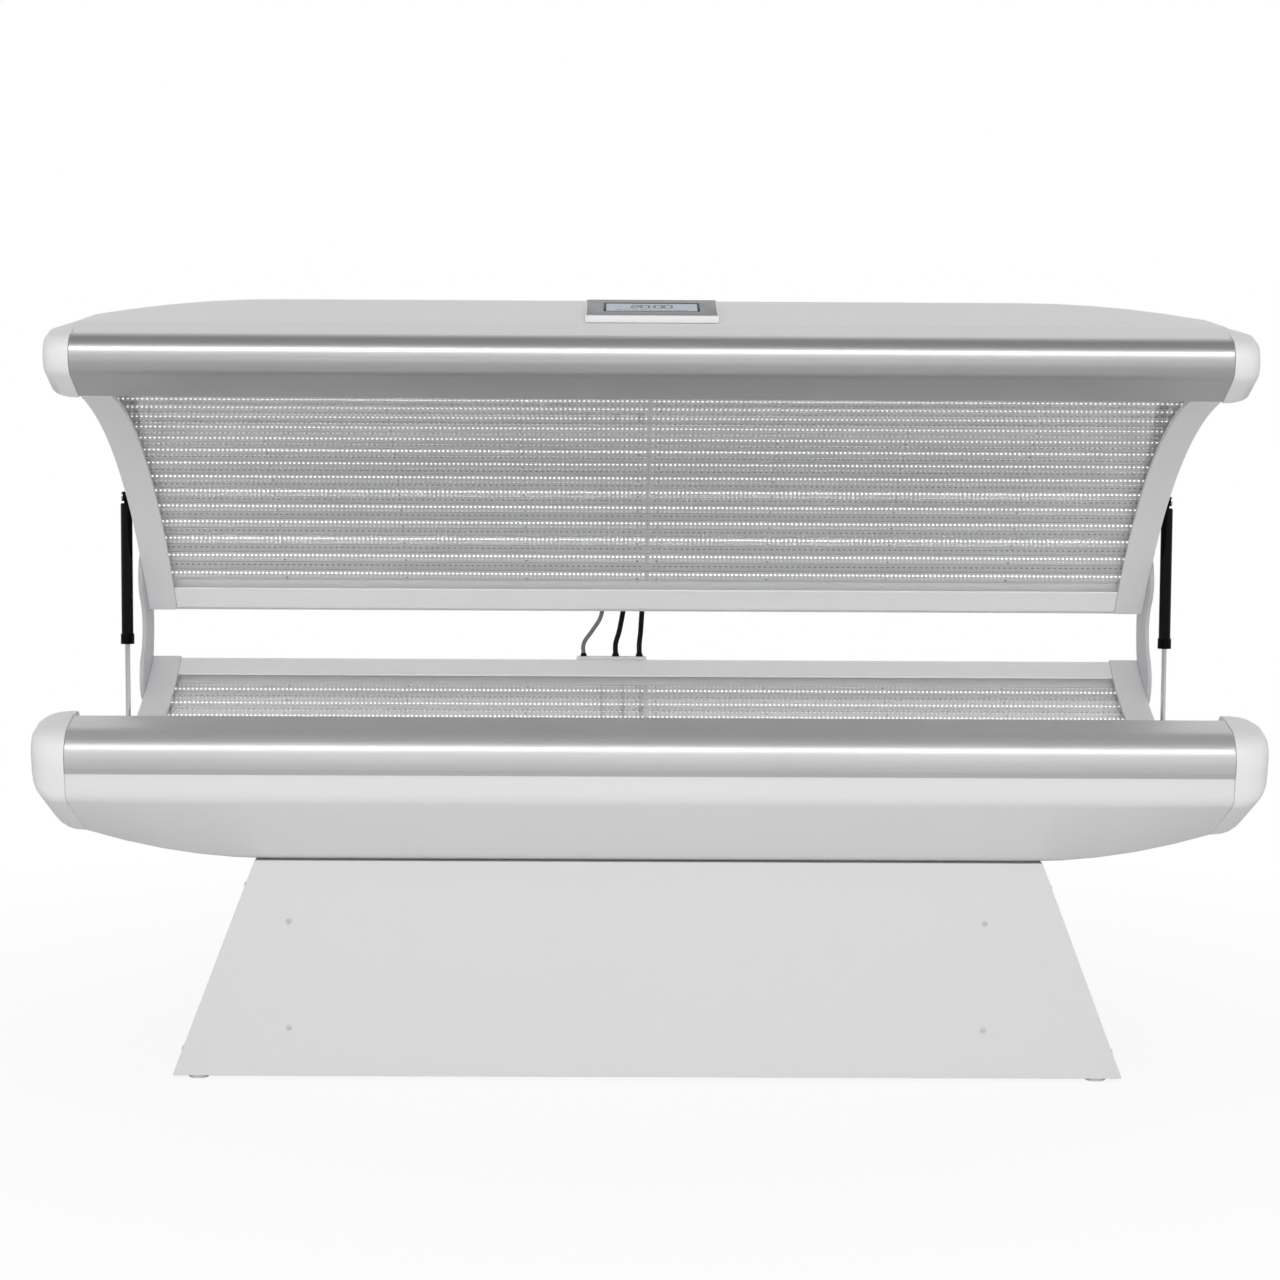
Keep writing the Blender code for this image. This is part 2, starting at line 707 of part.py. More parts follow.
def bench_cap_outline(half):
    floor = PEDESTAL_HEIGHT
    lip = floor + BENCH_LIP_HEIGHT
    proud = 2 * MM
    nose = offset(half["trim"], -half["up"] * proud)[CORNER_STEPS + 2 :]
    top = [
        (NOSE_Y + BENCH_CAP_TOP_REACH, floor + BENCH_CAP_TOP_HEIGHT, 0),
        (NOSE_Y + BENCH_LIP_DEPTH + 50 * MM, lip + proud, 25 * MM),
        (NOSE_Y + BENCH_LIP_DEPTH, lip + proud, 20 * MM),
        (*nose[0], 0),
    ]
    hull = [
        (*nose[-1], 0),
        (NOSE_Y + BENCH_BAND_SETBACK - proud, floor + BENCH_BAND_HEIGHT - proud, 35 * MM),
        (NOSE_Y + BENCH_FLOOR_FRONT, floor + BENCH_END_RISE, 60 * MM),
        (NOSE_Y + BENCH_CAP_REACH, floor + BENCH_END_RISE, 0),
    ]
    return rounded(top)[:-1] + nose + rounded(hull)[1:]


def canopy_cap_outline():
    end_crown = CANOPY_CROWN_HEIGHT - CANOPY_END_DROP - CANOPY_CAP_STEP
    proud = 2 * MM
    nose = canopy_nose(proud)
    top = [
        (-CANOPY_CROWN_FRONT + 120 * MM, end_crown, 0),
        (-CANOPY_CROWN_FRONT, end_crown, 120 * MM),
        (-CANOPY_BAND_REACH - proud, CANOPY_BAND_HEIGHT + proud - CANOPY_CAP_STEP, 40 * MM),
        (*nose[-1], 0),
    ]
    return rounded(top)[:-1] + nose[::-1] + [Vector((-CANOPY_LIP_REACH, -CANOPY_LIP_DROP - proud))]


def make_hinge(half_parent):
    """Crescent arms bolted to the bench, with a pin that each canopy end frame turns on."""
    top = Vector((PIVOT.y, PIVOT.z))
    foot = top + Vector((7 * MM, -HINGE_ARM_SPAN))
    centre, radius, first, turn = arc_between(foot, top, -HINGE_ARM_BOW)
    width = HINGE_ARM_WIDTH / 2
    steps = 12

    def spoke(angle, reach):
        return centre + Vector((math.cos(angle), math.sin(angle))) * reach

    outline = [spoke(first + turn * i / steps, radius + width) for i in range(steps + 1)]
    outline += round_end(top, first + turn, width, math.copysign(1, turn))
    outline += [spoke(first + turn * i / steps, radius - width) for i in range(steps, -1, -1)]
    outline += round_end(foot, first + math.pi, width, math.copysign(1, turn))
    pin_radius = HINGE_PIN_DIAMETER / 2
    arm_low = BODY_END + FIT
    arm_high = arm_low + HINGE_ARM_WALL
    bush_radius = pin_radius + FIT + BUSH_WALL
    for side, sign in SIDES:
        low, high = sorted((sign * arm_low, sign * arm_high))
        name = f"{side}_hinge_arm"
        loops = [outline, circle(top, pin_radius + FIT)]
        add(name, plate_mesh(name, loops, low, high, "X"), "painted_steel")

        name = f"{side}_hinge_pin"
        head = arm_high + FIT
        profile = [
            (0, head + 5 * MM),
            (HINGE_PIN_HEAD / 2 - 2 * MM, head + 5 * MM),
            (HINGE_PIN_HEAD / 2, head + 3 * MM),
            (HINGE_PIN_HEAD / 2, head),
            (pin_radius, head),
            (pin_radius, BODY_END - END_FRAME_WALL),
            (0, BODY_END - END_FRAME_WALL),
        ]
        pin = add(name, turned(name, profile), "bright_steel")
        pin.location = PIVOT
        pin.rotation_euler = (0, sign * math.pi / 2, 0)

        name = f"{side}_hinge_bush"
        inner = BODY_END - END_FRAME_WALL
        profile = [
            (pin_radius + FIT, BODY_END),
            (bush_radius, BODY_END),
            (bush_radius, inner),
            (pin_radius + FIT, inner),
            (pin_radius + FIT, BODY_END),
        ]
        bush = add(name, turned(name, profile), "bronze", half_parent)
        bush.rotation_euler = (0, sign * math.pi / 2, 0)
    return circle((0, 0), bush_radius + FIT)


def round_end(centre, start, radius, way, steps=10):
    """Points half way round the end of an arm."""
    turns = [start + way * math.pi * i / steps for i in range(1, steps)]
    return [centre + Vector((math.cos(a), math.sin(a))) * radius for a in turns]


def stud_mesh(name, sign):
    """A shoulder stud on an end frame, with a flange, a shank and a head outside the eye."""
    eye_out = STRUT_STANDOFF + STRUT_EYE_WIDTH / 2 + FIT
    profile = [
        (0, eye_out + 3 * MM),
        (10 * MM, eye_out + 3 * MM),
        (10 * MM, eye_out),
        (STUD_DIAMETER / 2, eye_out),
        (STUD_DIAMETER / 2, 4 * MM),
        (11 * MM, 4 * MM),
        (11 * MM, FIT),
        (0, FIT),
    ]
    mesh = turned(name, profile)
    mesh.transform(Matrix.Rotation(sign * math.pi / 2, 4, "Y"))
    return mesh


def make_struts(half_parent):
    """Gas struts: barrel up on the canopy's stud, rod down on the bench's stud."""
    up = Vector((0, -STRUT_STUD_FORWARD, STRUT_STUD_UP))
    down = Vector((0, 0, -STRUT_OPEN_LENGTH))
    closing = Matrix.Rotation(OPEN_ANGLE, 3, "X")
    barrel_top = -STRUT_NECK
    barrel_end = barrel_top - STRUT_BARREL_LENGTH
    body = STRUT_BARREL_DIAMETER / 2
    collar = STRUT_COLLAR_DIAMETER / 2
    bore = STRUT_ROD_DIAMETER / 2 + FIT
    bore_top = barrel_end + STRUT_ROD_INSIDE + STRUT_STROKE + 12 * MM
    for side, sign in SIDES:
        stud_place = Vector((sign * BODY_END, 0, 0))
        name = f"{side}_strut_upper_stud"
        stud = add(name, stud_mesh(name, sign), "bright_steel", half_parent)
        stud.location = stud_place + closing @ up
        name = f"{side}_strut_lower_stud"
        stud = add(name, stud_mesh(name, sign), "bright_steel")
        stud.location = stud_place + PIVOT + up + down

        axis = empty(f"{side}_strut_axis", Vector((sign * STRUT_X, 0, 0)) + PIVOT + up)
        name = f"{side}_strut_barrel"
        profile = [
            (0, -2 * MM),
            (5 * MM, -2 * MM),
            (5 * MM, barrel_top),
            (body - 2 * MM, barrel_top),
            (body, barrel_top - 2 * MM),
            (body, barrel_end + 22 * MM),
            (collar, barrel_end + 20 * MM),
            (collar, barrel_end),
            (bore, barrel_end),
            (bore, bore_top),
            (0, bore_top),
        ]
        barrel = add(name, turned(name, profile), "black_paint", axis)
        eye = rod_along(name + "_eye", STRUT_EYE_DIAMETER / 2, -STRUT_EYE_WIDTH / 2, STRUT_EYE_WIDTH / 2, "X")
        combine(barrel, eye, "UNION", name + "_eye")
        hole = rod_along(name + "_hole", STUD_DIAMETER / 2 + FIT, -STRUT_EYE_WIDTH, STRUT_EYE_WIDTH, "X")
        combine(barrel, hole, "DIFFERENCE", name + "_hole")

        name = f"{side}_strut_rod"
        foot = -STRUT_OPEN_LENGTH
        tip = barrel_end + STRUT_ROD_INSIDE
        shaft = rod_along(name, STRUT_ROD_DIAMETER / 2, foot + 2 * MM, tip, "Z")
        rod = add(name, shaft, "bright_steel", axis)
        centre = (0, 0, foot)
        eye = rod_along(
            name + "_eye", LOWER_EYE_DIAMETER / 2, -STRUT_EYE_WIDTH / 2, STRUT_EYE_WIDTH / 2, "X", centre
        )
        combine(rod, eye, "UNION", name + "_eye")
        play = STUD_DIAMETER / 2 + LOWER_EYE_PLAY
        hole = rod_along(name + "_hole", play, -STRUT_EYE_WIDTH, STRUT_EYE_WIDTH, "X", centre)
        combine(rod, hole, "DIFFERENCE", name + "_hole")


def pedestal_half_width(z, inset=0.0):
    """Half the pedestal's width at a height, square inset measured from its sloping side."""
    rise = PEDESTAL_HEIGHT - SKIRT_FLOOR_GAP
    spread = (PEDESTAL_FOOT_WIDTH - PEDESTAL_TOP_WIDTH) / 2
    slope = spread / rise
    outer = PEDESTAL_TOP_WIDTH / 2 + slope * (PEDESTAL_HEIGHT - z)
    return outer - inset * math.hypot(1, slope)


def trapezoid(z_low, z_high, inset=0.0):
    low, high = pedestal_half_width(z_low, inset), pedestal_half_width(z_high, inset)
    return [Vector((-low, z_low)), Vector((low, z_low)), Vector((high, z_high)), Vector((-high, z_high))]


def make_pedestal():
    front = NOSE_Y + PEDESTAL_FRONT_SETBACK
    rear = REAR_Y - PEDESTAL_REAR_SETBACK
    skirt_top = PEDESTAL_HEIGHT - 2 * FIT
    outline = trapezoid(SKIRT_FLOOR_GAP, skirt_top)
    name = "front_skirt"
    add(name, plate_mesh(name, [outline], front, front + SKIRT_WALL, "Y"), "painted_sheet")
    name = "rear_skirt"
    fan_hole = circle((FAN_X, FAN_HEIGHT), FAN_BORE / 2 - 4 * MM, 32)
    add(name, plate_mesh(name, [outline, fan_hole], rear - SKIRT_WALL, rear, "Y"), "painted_sheet")

    inner_front = front + SKIRT_WALL + FIT
    inner_rear = rear - SKIRT_WALL - FIT
    for side, sign in SIDES:
        name = f"{side}_skirt"
        loop = []
        for z, inset in ((SKIRT_FLOOR_GAP, 0), (skirt_top, 0), (skirt_top, SKIRT_WALL), (SKIRT_FLOOR_GAP, SKIRT_WALL)):
            loop.append(Vector((sign * pedestal_half_width(z, inset), z)))
        add(name, plate_mesh(name, [loop], inner_front, inner_rear, "Y"), "painted_sheet")
    make_frame(inner_front, inner_rear, skirt_top)


def make_frame(front, rear, top):
    """Welded tube frame: a windowed trapezoid at front and rear, joined by cross tubes."""
    inset = SKIRT_WALL + FIT
    low = FOOT_HEIGHT
    outer = trapezoid(low, top, inset)
    window_low, window_high = low + FRAME_TUBE, top - FRAME_TUBE
    post = FRAME_TUBE / 2
    windows = []
    for sign in (-1, 1):
        foot = pedestal_half_width(window_low, inset + FRAME_TUBE)
        head = pedestal_half_width(window_high, inset + FRAME_TUBE)
        windows.append(
            [
                Vector((sign * post, window_low)),
                Vector((sign * foot, window_low)),
                Vector((sign * head, window_high)),
                Vector((sign * post, window_high)),
            ]
        )
    name = "pedestal_frame"
    front_face = plate_mesh(name, [outer, *windows], front, front + FRAME_TUBE, "Y")
    frame = add(name, front_face, "painted_steel")
    rear_face = plate_mesh(name + "_rear", [outer, *windows], rear - FRAME_TUBE, rear, "Y")
    combine(frame, rear_face, "UNION", name + "_rear")
    reach = rear - front - FRAME_TUBE
    middle = (front + rear) / 2
    corner_low = pedestal_half_width(low + FRAME_TUBE, inset) - FRAME_TUBE / 2
    corner_high = pedestal_half_width(top, inset) - FRAME_TUBE / 2
    tube = Vector((FRAME_TUBE, reach, FRAME_TUBE))
    ties = [
        ("low_left", -corner_low, low),
        ("low_middle", 0, low),
        ("low_right", corner_low, low),
        ("high_left", -corner_high, top - FRAME_TUBE),
        ("high_middle", 0, top - FRAME_TUBE),
        ("high_right", corner_high, top - FRAME_TUBE),
    ]
    for tie, x, z in ties:
        mesh = block(f"{name}_{tie}", tube, (x, middle, z + FRAME_TUBE / 2))
        combine(frame, mesh, "UNION", f"{name}_{tie}")
    make_feet(low, corner_low, front, rear)
    make_shelf(low + FRAME_TUBE + FIT, middle, reach)
    make_fan(rear + FIT)


def make_feet(height, x, front, rear):
    pad = FOOT_PAD_DIAMETER / 2
    profile = [
        (0, height - FIT),
        (15 * MM, height - FIT),
        (15 * MM, height - 10 * MM),
        (8 * MM, height - 10 * MM),
        (8 * MM, 12 * MM),
        (pad - 6 * MM, 10 * MM),
        (pad, 5 * MM),
        (pad, 0),
        (0, 0),
    ]
    for side, sign in SIDES:
        for end, y in (("front", front + FRAME_TUBE / 2), ("rear", rear - FRAME_TUBE / 2)):
            name = f"{side}_{end}_foot"
            foot = add(name, turned(name, profile, 16), "grey_rubber")
            foot.location = (sign * x, y, 0)


def make_shelf(height, y, depth):
    """Steel shelf across the lower tubes, and the power supplies that stand on it."""
    length = SHELF_LENGTH
    size = Vector((length, depth - FRAME_TUBE - 2 * FIT, SHELF_WALL))
    name = "equipment_shelf"
    add(name, block(name, size, (0, y, height + SHELF_WALL / 2)), "painted_steel")
    base = height + SHELF_WALL + FIT
    for side, sign in SIDES:
        name = f"{side}_power_supply"
        size = Vector((SUPPLY_LENGTH, SUPPLY_DEPTH, SUPPLY_HEIGHT))
        centre = (sign * SUPPLY_SPACING / 2, y, base + SUPPLY_HEIGHT / 2)
        add(name, block(name, size, centre, 2 * MM), "satin_aluminium")


def make_fan(skirt_y):
    """Axial fan behind the rear skirt's opening: square frame, motor on four arms, impeller."""
    back = skirt_y - FIT
    mouth = back - FAN_DEPTH
    middle = (back + mouth) / 2
    half = FAN_SIZE / 2
    rim = [Vector((FAN_X + x * half, FAN_HEIGHT + z * half)) for x, z in ((-1, -1), (1, -1), (1, 1), (-1, 1))]
    name = "cooling_fan_frame"
    bore = circle((FAN_X, FAN_HEIGHT), FAN_BORE / 2, 32)
    frame = add(name, plate_mesh(name, [rim, bore], mouth, back, "Y"), "black_plastic")
    hub = FAN_HUB_DIAMETER / 2
    arm = 5 * MM
    centre = (FAN_X, 0, FAN_HEIGHT)
    motor = rod_along(name + "_motor", hub - 6 * MM, back - arm, back, "Y", centre)
    for turn in (math.pi / 4, -math.pi / 4):
        size = Vector((FAN_BORE + 2 * MM, arm - 1 * MM, 9 * MM))
        spoke = block(f"{name}_arm", size, (0, 0, 0))
        place = Matrix.Translation((FAN_X, back - arm / 2, FAN_HEIGHT)) @ Matrix.Rotation(turn, 4, "Y")
        spoke.transform(place)
        combine(frame, spoke, "UNION", f"{name}_arm_{round(math.degrees(turn))}")
    combine(frame, motor, "UNION", name + "_motor")
    shaft = FAN_SHAFT_DIAMETER / 2
    shaft_mesh = rod_along(name + "_shaft", shaft, middle, back - 1 * MM, "Y", centre, 16)
    combine(frame, shaft_mesh, "UNION", name + "_shaft")

    name = "cooling_fan_impeller"
    hub_back = back - arm - 2 * MM
    hub_front = mouth + 4 * MM
    axis = empty("cooling_fan_axis", (FAN_X, middle, FAN_HEIGHT))
    wheel_mesh = rod_along(name, hub, hub_front - middle, hub_back - middle, "Y")
    wheel = add(name, wheel_mesh, "black_plastic", axis)
    tip = FAN_BORE / 2 - FAN_TIP_GAP
    root = hub - 4 * MM
    for i in range(FAN_BLADES):
        size = Vector((tip - root, 2.5 * MM, 30 * MM))
        blade = block(f"{name}_blade", size, ((tip + root) / 2, 0, 0))
        pitch = Matrix.Rotation(math.radians(52), 4, "X")
        spin = Matrix.Rotation(2 * math.pi * i / FAN_BLADES, 4, "Y")
        blade.transform(spin @ pitch)
        combine(wheel, blade, "UNION", f"{name}_blade_{i + 1}")
    hole = rod_along(name + "_hole", shaft + FIT, -FIT * 3, FAN_DEPTH, "Y", steps=16)
    combine(wheel, hole, "DIFFERENCE", name + "_hole")
    make_inlet(skirt_y)


def make_inlet(skirt_y):
    """Power inlet on the rear skirt: a flanged socket with a recess for the plug."""
    name = "power_inlet"
    face = skirt_y + SKIRT_WALL + FIT
    flange = Vector((INLET_WIDTH, 8 * MM, INLET_HEIGHT))
    inlet = add(name, block(name, flange, (INLET_X, face + 4 * MM, FAN_HEIGHT), 1.5 * MM), "black_plastic")
    recess = Vector((INLET_WIDTH * 0.56, 10 * MM, INLET_HEIGHT * 0.6))
    tool = block(name + "_recess", recess, (INLET_X, face + 8 * MM, FAN_HEIGHT))
    combine(inlet, tool, "DIFFERENCE", name + "_recess")


def make_control_panel(half):
    """A slab on the canopy's front slope with a display let into its face."""
    band, crown = (Vector(corner[:2]) for corner in half["shell"](0.0)[:2])
    along = (crown - band).normalized()
    out = Vector((along.y, -along.x)) * half["up"]
    slope = math.atan2(along.y, along.x)
    anchor = empty("control_panel_seat", (0, 0, 0), parent=half["parent"])
    seat = band + along * (PANEL_FROM_BAND + PANEL_LENGTH / 2) + out * FIT
    anchor.location = (0, seat.x, seat.y)
    anchor.rotation_euler = (slope, 0, 0)

    name = "control_panel"
    size = Vector((PANEL_WIDTH, PANEL_LENGTH, PANEL_THICKNESS))
    panel = add(name, block(name, size, (0, 0, PANEL_THICKNESS / 2), 3 * MM), "satin_aluminium", anchor)
    middle = PANEL_LENGTH / 2 - DISPLAY_FROM_TOP - DISPLAY_LENGTH / 2
    pocket = Vector((DISPLAY_WIDTH + 2 * FIT, DISPLAY_LENGTH + 2 * FIT, 2 * (DISPLAY_WALL + FIT)))
    tool = block(name + "_pocket", pocket, (0, middle, PANEL_THICKNESS))
    combine(panel, tool, "DIFFERENCE", name + "_pocket")
    name = "control_display"
    size = Vector((DISPLAY_WIDTH, DISPLAY_LENGTH, DISPLAY_WALL - 0.5 * MM))
    floor = PANEL_THICKNESS - DISPLAY_WALL
    add(name, block(name, size, (0, middle, floor + size.z / 2)), "display_glass", anchor)


def smooth_route(points, step):
    """Points about a step apart on a smooth curve through the route's own points."""
    route = list(points)
    ends = [route[0] * 2 - route[1], *route, route[-1] * 2 - route[-2]]
    fine = []
    for a, b, c, d in zip(ends, ends[1:], ends[2:], ends[3:]):
        count = max(1, round((c - b).length / step))
        for i in range(count):
            t = i / count
            fine.append(
                0.5 * (2 * b + (c - a) * t + (2 * a - 5 * b + 4 * c - d) * t**2 + (3 * b - a - 3 * c + d) * t**3)
            )
    return fine + [route[-1]]


def lead_point(point):
    return Vector((point[0], REAR_Y + point[1], PEDESTAL_HEIGHT + point[2]))


def make_leads(half):
    """Three leads cross from the canopy's rear wall to the bench's rear edge."""
    leads = (
        ("power_lead", POWER_LEAD_ROUTE, POWER_LEAD_DIAMETER, "black_rubber"),
        ("earth_lead", EARTH_LEAD_ROUTE, POWER_LEAD_DIAMETER, "black_rubber"),
        ("signal_lead", SIGNAL_LEAD_ROUTE, SIGNAL_LEAD_DIAMETER, "grey_rubber"),
    )
    for name, route, diameter, material in leads:
        curve = bpy.data.curves.new(name, "CURVE")
        curve.dimensions = "3D"
        curve.bevel_depth = diameter / 2
        curve.bevel_resolution = 2
        curve.use_fill_caps = True
        points = smooth_route([lead_point(p) for p in route], 2 * diameter)
        spline = curve.splines.new("POLY")
        spline.points.add(len(points) - 1)
        for point, place in zip(spline.points, points):
            point.co = (*place, 1)
        add(name, curve, material)
    make_grommets(half)


def make_grommets(half):
    """Rubber strips that the leads come out of, one on each rear edge."""
    low_x = min(route[-1][0] for route in (POWER_LEAD_ROUTE, EARTH_LEAD_ROUTE, SIGNAL_LEAD_ROUTE))
    high_x = max(route[-1][0] for route in (POWER_LEAD_ROUTE, EARTH_LEAD_ROUTE, SIGNAL_LEAD_ROUTE))
    length = high_x - low_x + 30 * MM
    middle = (low_x + high_x) / 2
    name = "bench_lead_grommet"
    rear_edge_z = half["bench"]["rear_edge"][0][1]
    y = lead_point(POWER_LEAD_ROUTE[-1]).y
    size = Vector((length, GROMMET_WIDTH, GROMMET_THICKNESS))
    z = rear_edge_z + FIT + GROMMET_THICKNESS / 2
    add(name, block(name, size, (middle, y, z), 2 * MM), "black_rubber")
    name = "canopy_lead_grommet"
    size = Vector((length, GROMMET_THICKNESS, GROMMET_WIDTH))
    y = CANOPY_REAR_OVERHANG + FIT + GROMMET_THICKNESS / 2
    z = -2 * MM
    parent = half["canopy"]["parent"]
    add(name, block(name, size, (middle, y, z), 2 * MM), "black_rubber", parent)


def build():
    hinge_axis = empty("canopy_hinge_axis", PIVOT, -OPEN_ANGLE)
    bench = bench_half()
    canopy = canopy_half(hinge_axis)
    for half in (bench, canopy):
        make_shell(half)
        make_trim(half)
        make_clear_sheet(half)
        make_cheeks(half)
        make_rear_rail(half)
        make_led_tray(half)
    bush_hole = make_hinge(hinge_axis)
    make_end_frames(bench, [])
    make_end_frames(canopy, [bush_hole])
    nose = Vector((NOSE_Y + 75 * MM, PEDESTAL_HEIGHT + BENCH_TRIM_NOSE_HEIGHT - 18 * MM))
    dome = (BENCH_CAP_THICKNESS, BENCH_CAP_SQUARENESS, 0.35)
    make_end_caps(bench, bench_cap_outline(bench), nose, *dome)
    nose = Vector((-CANOPY_NOSE_CENTRE_REACH + 49 * MM, -CANOPY_NOSE_CENTRE_DROP + 26 * MM))
    dome = (CANOPY_CAP_THICKNESS, CANOPY_CAP_SQUARENESS, 0.68)
    make_end_caps(canopy, canopy_cap_outline(), nose, *dome)
    make_struts(hinge_axis)
    make_pedestal()
    make_control_panel(canopy)
    make_leads({"bench": bench, "canopy": canopy})


clear_scene()
BED = new_collection("light_therapy_bed")
CUTTERS = new_collection("cutters")
build()
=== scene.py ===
"""Dress the light therapy bed: finishes, small pieces, leads and the studio around it."""

import json
import math

import bmesh
import bpy
from mathutils import Matrix, Vector

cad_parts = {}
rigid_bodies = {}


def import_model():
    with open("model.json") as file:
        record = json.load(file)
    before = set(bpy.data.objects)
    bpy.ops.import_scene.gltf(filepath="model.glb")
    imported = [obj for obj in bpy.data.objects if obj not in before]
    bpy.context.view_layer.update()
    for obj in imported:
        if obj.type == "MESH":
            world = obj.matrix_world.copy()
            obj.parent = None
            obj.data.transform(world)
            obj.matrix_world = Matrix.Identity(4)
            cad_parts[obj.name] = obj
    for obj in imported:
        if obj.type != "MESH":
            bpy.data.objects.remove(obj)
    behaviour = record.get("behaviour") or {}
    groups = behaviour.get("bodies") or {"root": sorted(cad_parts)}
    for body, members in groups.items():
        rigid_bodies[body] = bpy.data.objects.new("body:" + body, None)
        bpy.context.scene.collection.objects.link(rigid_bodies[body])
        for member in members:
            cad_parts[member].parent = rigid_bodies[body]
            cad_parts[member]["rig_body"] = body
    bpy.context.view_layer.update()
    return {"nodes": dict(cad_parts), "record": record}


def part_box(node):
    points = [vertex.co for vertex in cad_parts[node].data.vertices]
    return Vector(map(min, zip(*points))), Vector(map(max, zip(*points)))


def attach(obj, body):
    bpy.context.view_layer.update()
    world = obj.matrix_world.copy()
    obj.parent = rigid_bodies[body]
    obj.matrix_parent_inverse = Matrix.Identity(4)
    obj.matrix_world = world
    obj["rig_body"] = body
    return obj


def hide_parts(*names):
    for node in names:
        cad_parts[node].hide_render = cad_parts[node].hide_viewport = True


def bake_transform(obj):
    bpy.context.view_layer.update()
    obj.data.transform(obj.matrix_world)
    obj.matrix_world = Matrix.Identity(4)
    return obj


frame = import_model()

bl_info = {
    "name": "Light therapy bed dresser",
    "version": (1, 0, 0),
    "blender": (4, 5, 0),
    "location": "3D View > Sidebar > Bed",
    "description": "Dresses the clamshell light therapy bed with its boards, finishes and leads",
    "category": "Object",
}

MM = 0.001
SIDES = (("left", -1), ("right", 1))
HALVES = ("bench", "canopy")
RIGHT = Vector((1, 0, 0))
WHITE = (1, 1, 1, 1)

# How points are merged, and which edges count as flat, smooth or sharp
MERGE_DISTANCE = 0.01 * MM
CAD_MERGE_DISTANCE = 0.004 * MM
CAD_FLAT_ANGLE = math.radians(0.3)
SMOOTH_ANGLE = math.radians(32)
BEVEL_ANGLE = math.radians(40)

# Section arcs of the bench and the canopy, as the solids have them: front end, rear end, bulge
BENCH_NOSE_Y = -0.5785
BENCH_REAR_Y = 0.5785
BENCH_FLOOR_Z = 0.412
BENCH_LIP_Z = BENCH_FLOOR_Z + 282 * MM
BENCH_ARC = (
    Vector((BENCH_NOSE_Y + 130 * MM, BENCH_LIP_Z - 22 * MM)),
    Vector((BENCH_REAR_Y - 72 * MM, BENCH_LIP_Z + 6 * MM)),
    -115 * MM,
)
CANOPY_LIP_Z = -66.5 * MM
CANOPY_ARC = (
    Vector((-870 * MM, CANOPY_LIP_Z + 5 * MM)),
    Vector((50 * MM, CANOPY_LIP_Z + 26 * MM)),
    76 * MM,
)
# The canopy's section is drawn closed, from its hinge
PIVOT = Vector((0, 0.4265, 0.885))
OPEN_ANGLE = math.radians(30)

# Boards in the trays, as the solids have them
BOARD_FACE_LIFT = 28.3 * MM
BOARD_FACE_PLAY = 1 * MM
BOARD_END_FACING = 0.5
BOARD_PITCH = 56 * MM
LED_BOARD_WIDTH = 29.5 * MM
DRIVER_BOARD_WIDTH = 23.5 * MM
BOARD_EDGE_MARGIN = 46 * MM
BOARD_HALF_LENGTH = 1034 * MM
TRAY_SKINS = ("tray", "led_board", "driver_board", "tray_margin")

# Small pieces on the boards. The two lines are from the front edge of their boards
LED_LINE = 9.5 * MM
LENS_TAPER = 0.62
LENS_DEPTH = 1.5 * MM
LENS_LIFT = 0.8 * MM
LENS_ROW_REACH = BOARD_HALF_LENGTH - 14 * MM
LENS_ROW_GAP = 3 * MM
RESISTOR_LINE = 8.3 * MM
RESISTOR_SIZE = Vector((4.2, 2.2, 0.9)) * MM
RESISTOR_LIFT = 0.5 * MM
RESISTOR_ROW_REACH = BOARD_HALF_LENGTH - 20 * MM
RESISTOR_ROW_GAP = 8 * MM
PLUG_SIZE = Vector((12, 14, 5)) * MM
PLUG_PLACE = (BOARD_HALF_LENGTH - 9 * MM, 3 * MM, 2.5 * MM)
PLUG_ROUND = 0.6 * MM
JOINT_SIZE = Vector((1.0 * MM, LED_BOARD_WIDTH, 0.3 * MM))
JOINT_LIFT = 0.1 * MM
BOARD_SCREW_DIAMETER = 5 * MM
BOARD_SCREW_STEPS = 10
BOARD_SCREW_SHIFT = 8 * MM
BOARD_SCREWS_X_MM = (-1000, -750, -500, -250, -20, 20, 250, 500, 750, 1000)
# Section of the strip behind the last LED board: along the arc from that board, and lift
REFLECTOR_SECTION_MM = ((0.8, 27.8), (36, 16.2), (36, 17.4), (1.2, 29.0))

# A screw head's outline in shares of its radius, and the screws of the hinge arms and the skirts
SCREW_PROFILE = (
    (1, 0), (1, 0.12), (0.92, 0.34), (0.70, 0.52),
    (0.46, 0.58), (0.42, 0.56), (0.38, 0.18), (0, 0.18),
)
HINGE_SCREW_DIAMETER = 14 * MM
HINGE_SCREWS_YZ = ((0.440, 0.700), (0.475, 0.660), (0.415, 0.655))
PEDESTAL_TOP_WIDTH = 1.462
SKIRT_SCREWS_X = (-0.668, 0.625)
SKIRT_SCREWS_Z = (0.298, 0.097)
SIDE_SCREWS_Z = (0.362, 0.052)
SIDE_SCREW_INSET = 30 * MM

# Fan guard and the inlet's pins
GUARD_WIRE = 1.3 * MM
GUARD_RINGS = 6
GUARD_RING_STEP = 13 * MM
GUARD_RING_SIDES = 40
GUARD_SPOKE_LENGTH = 178 * MM
GUARD_SPOKE_ROUND = 0.5 * MM
PIN_SIZE = Vector((2.2, 4.5, 4)) * MM
PIN_ROUND = 0.3 * MM
PIN_DEPTH = 2.6 * MM
PINS_XZ_MM = ((-7, -2), (0, 3), (7, -2))

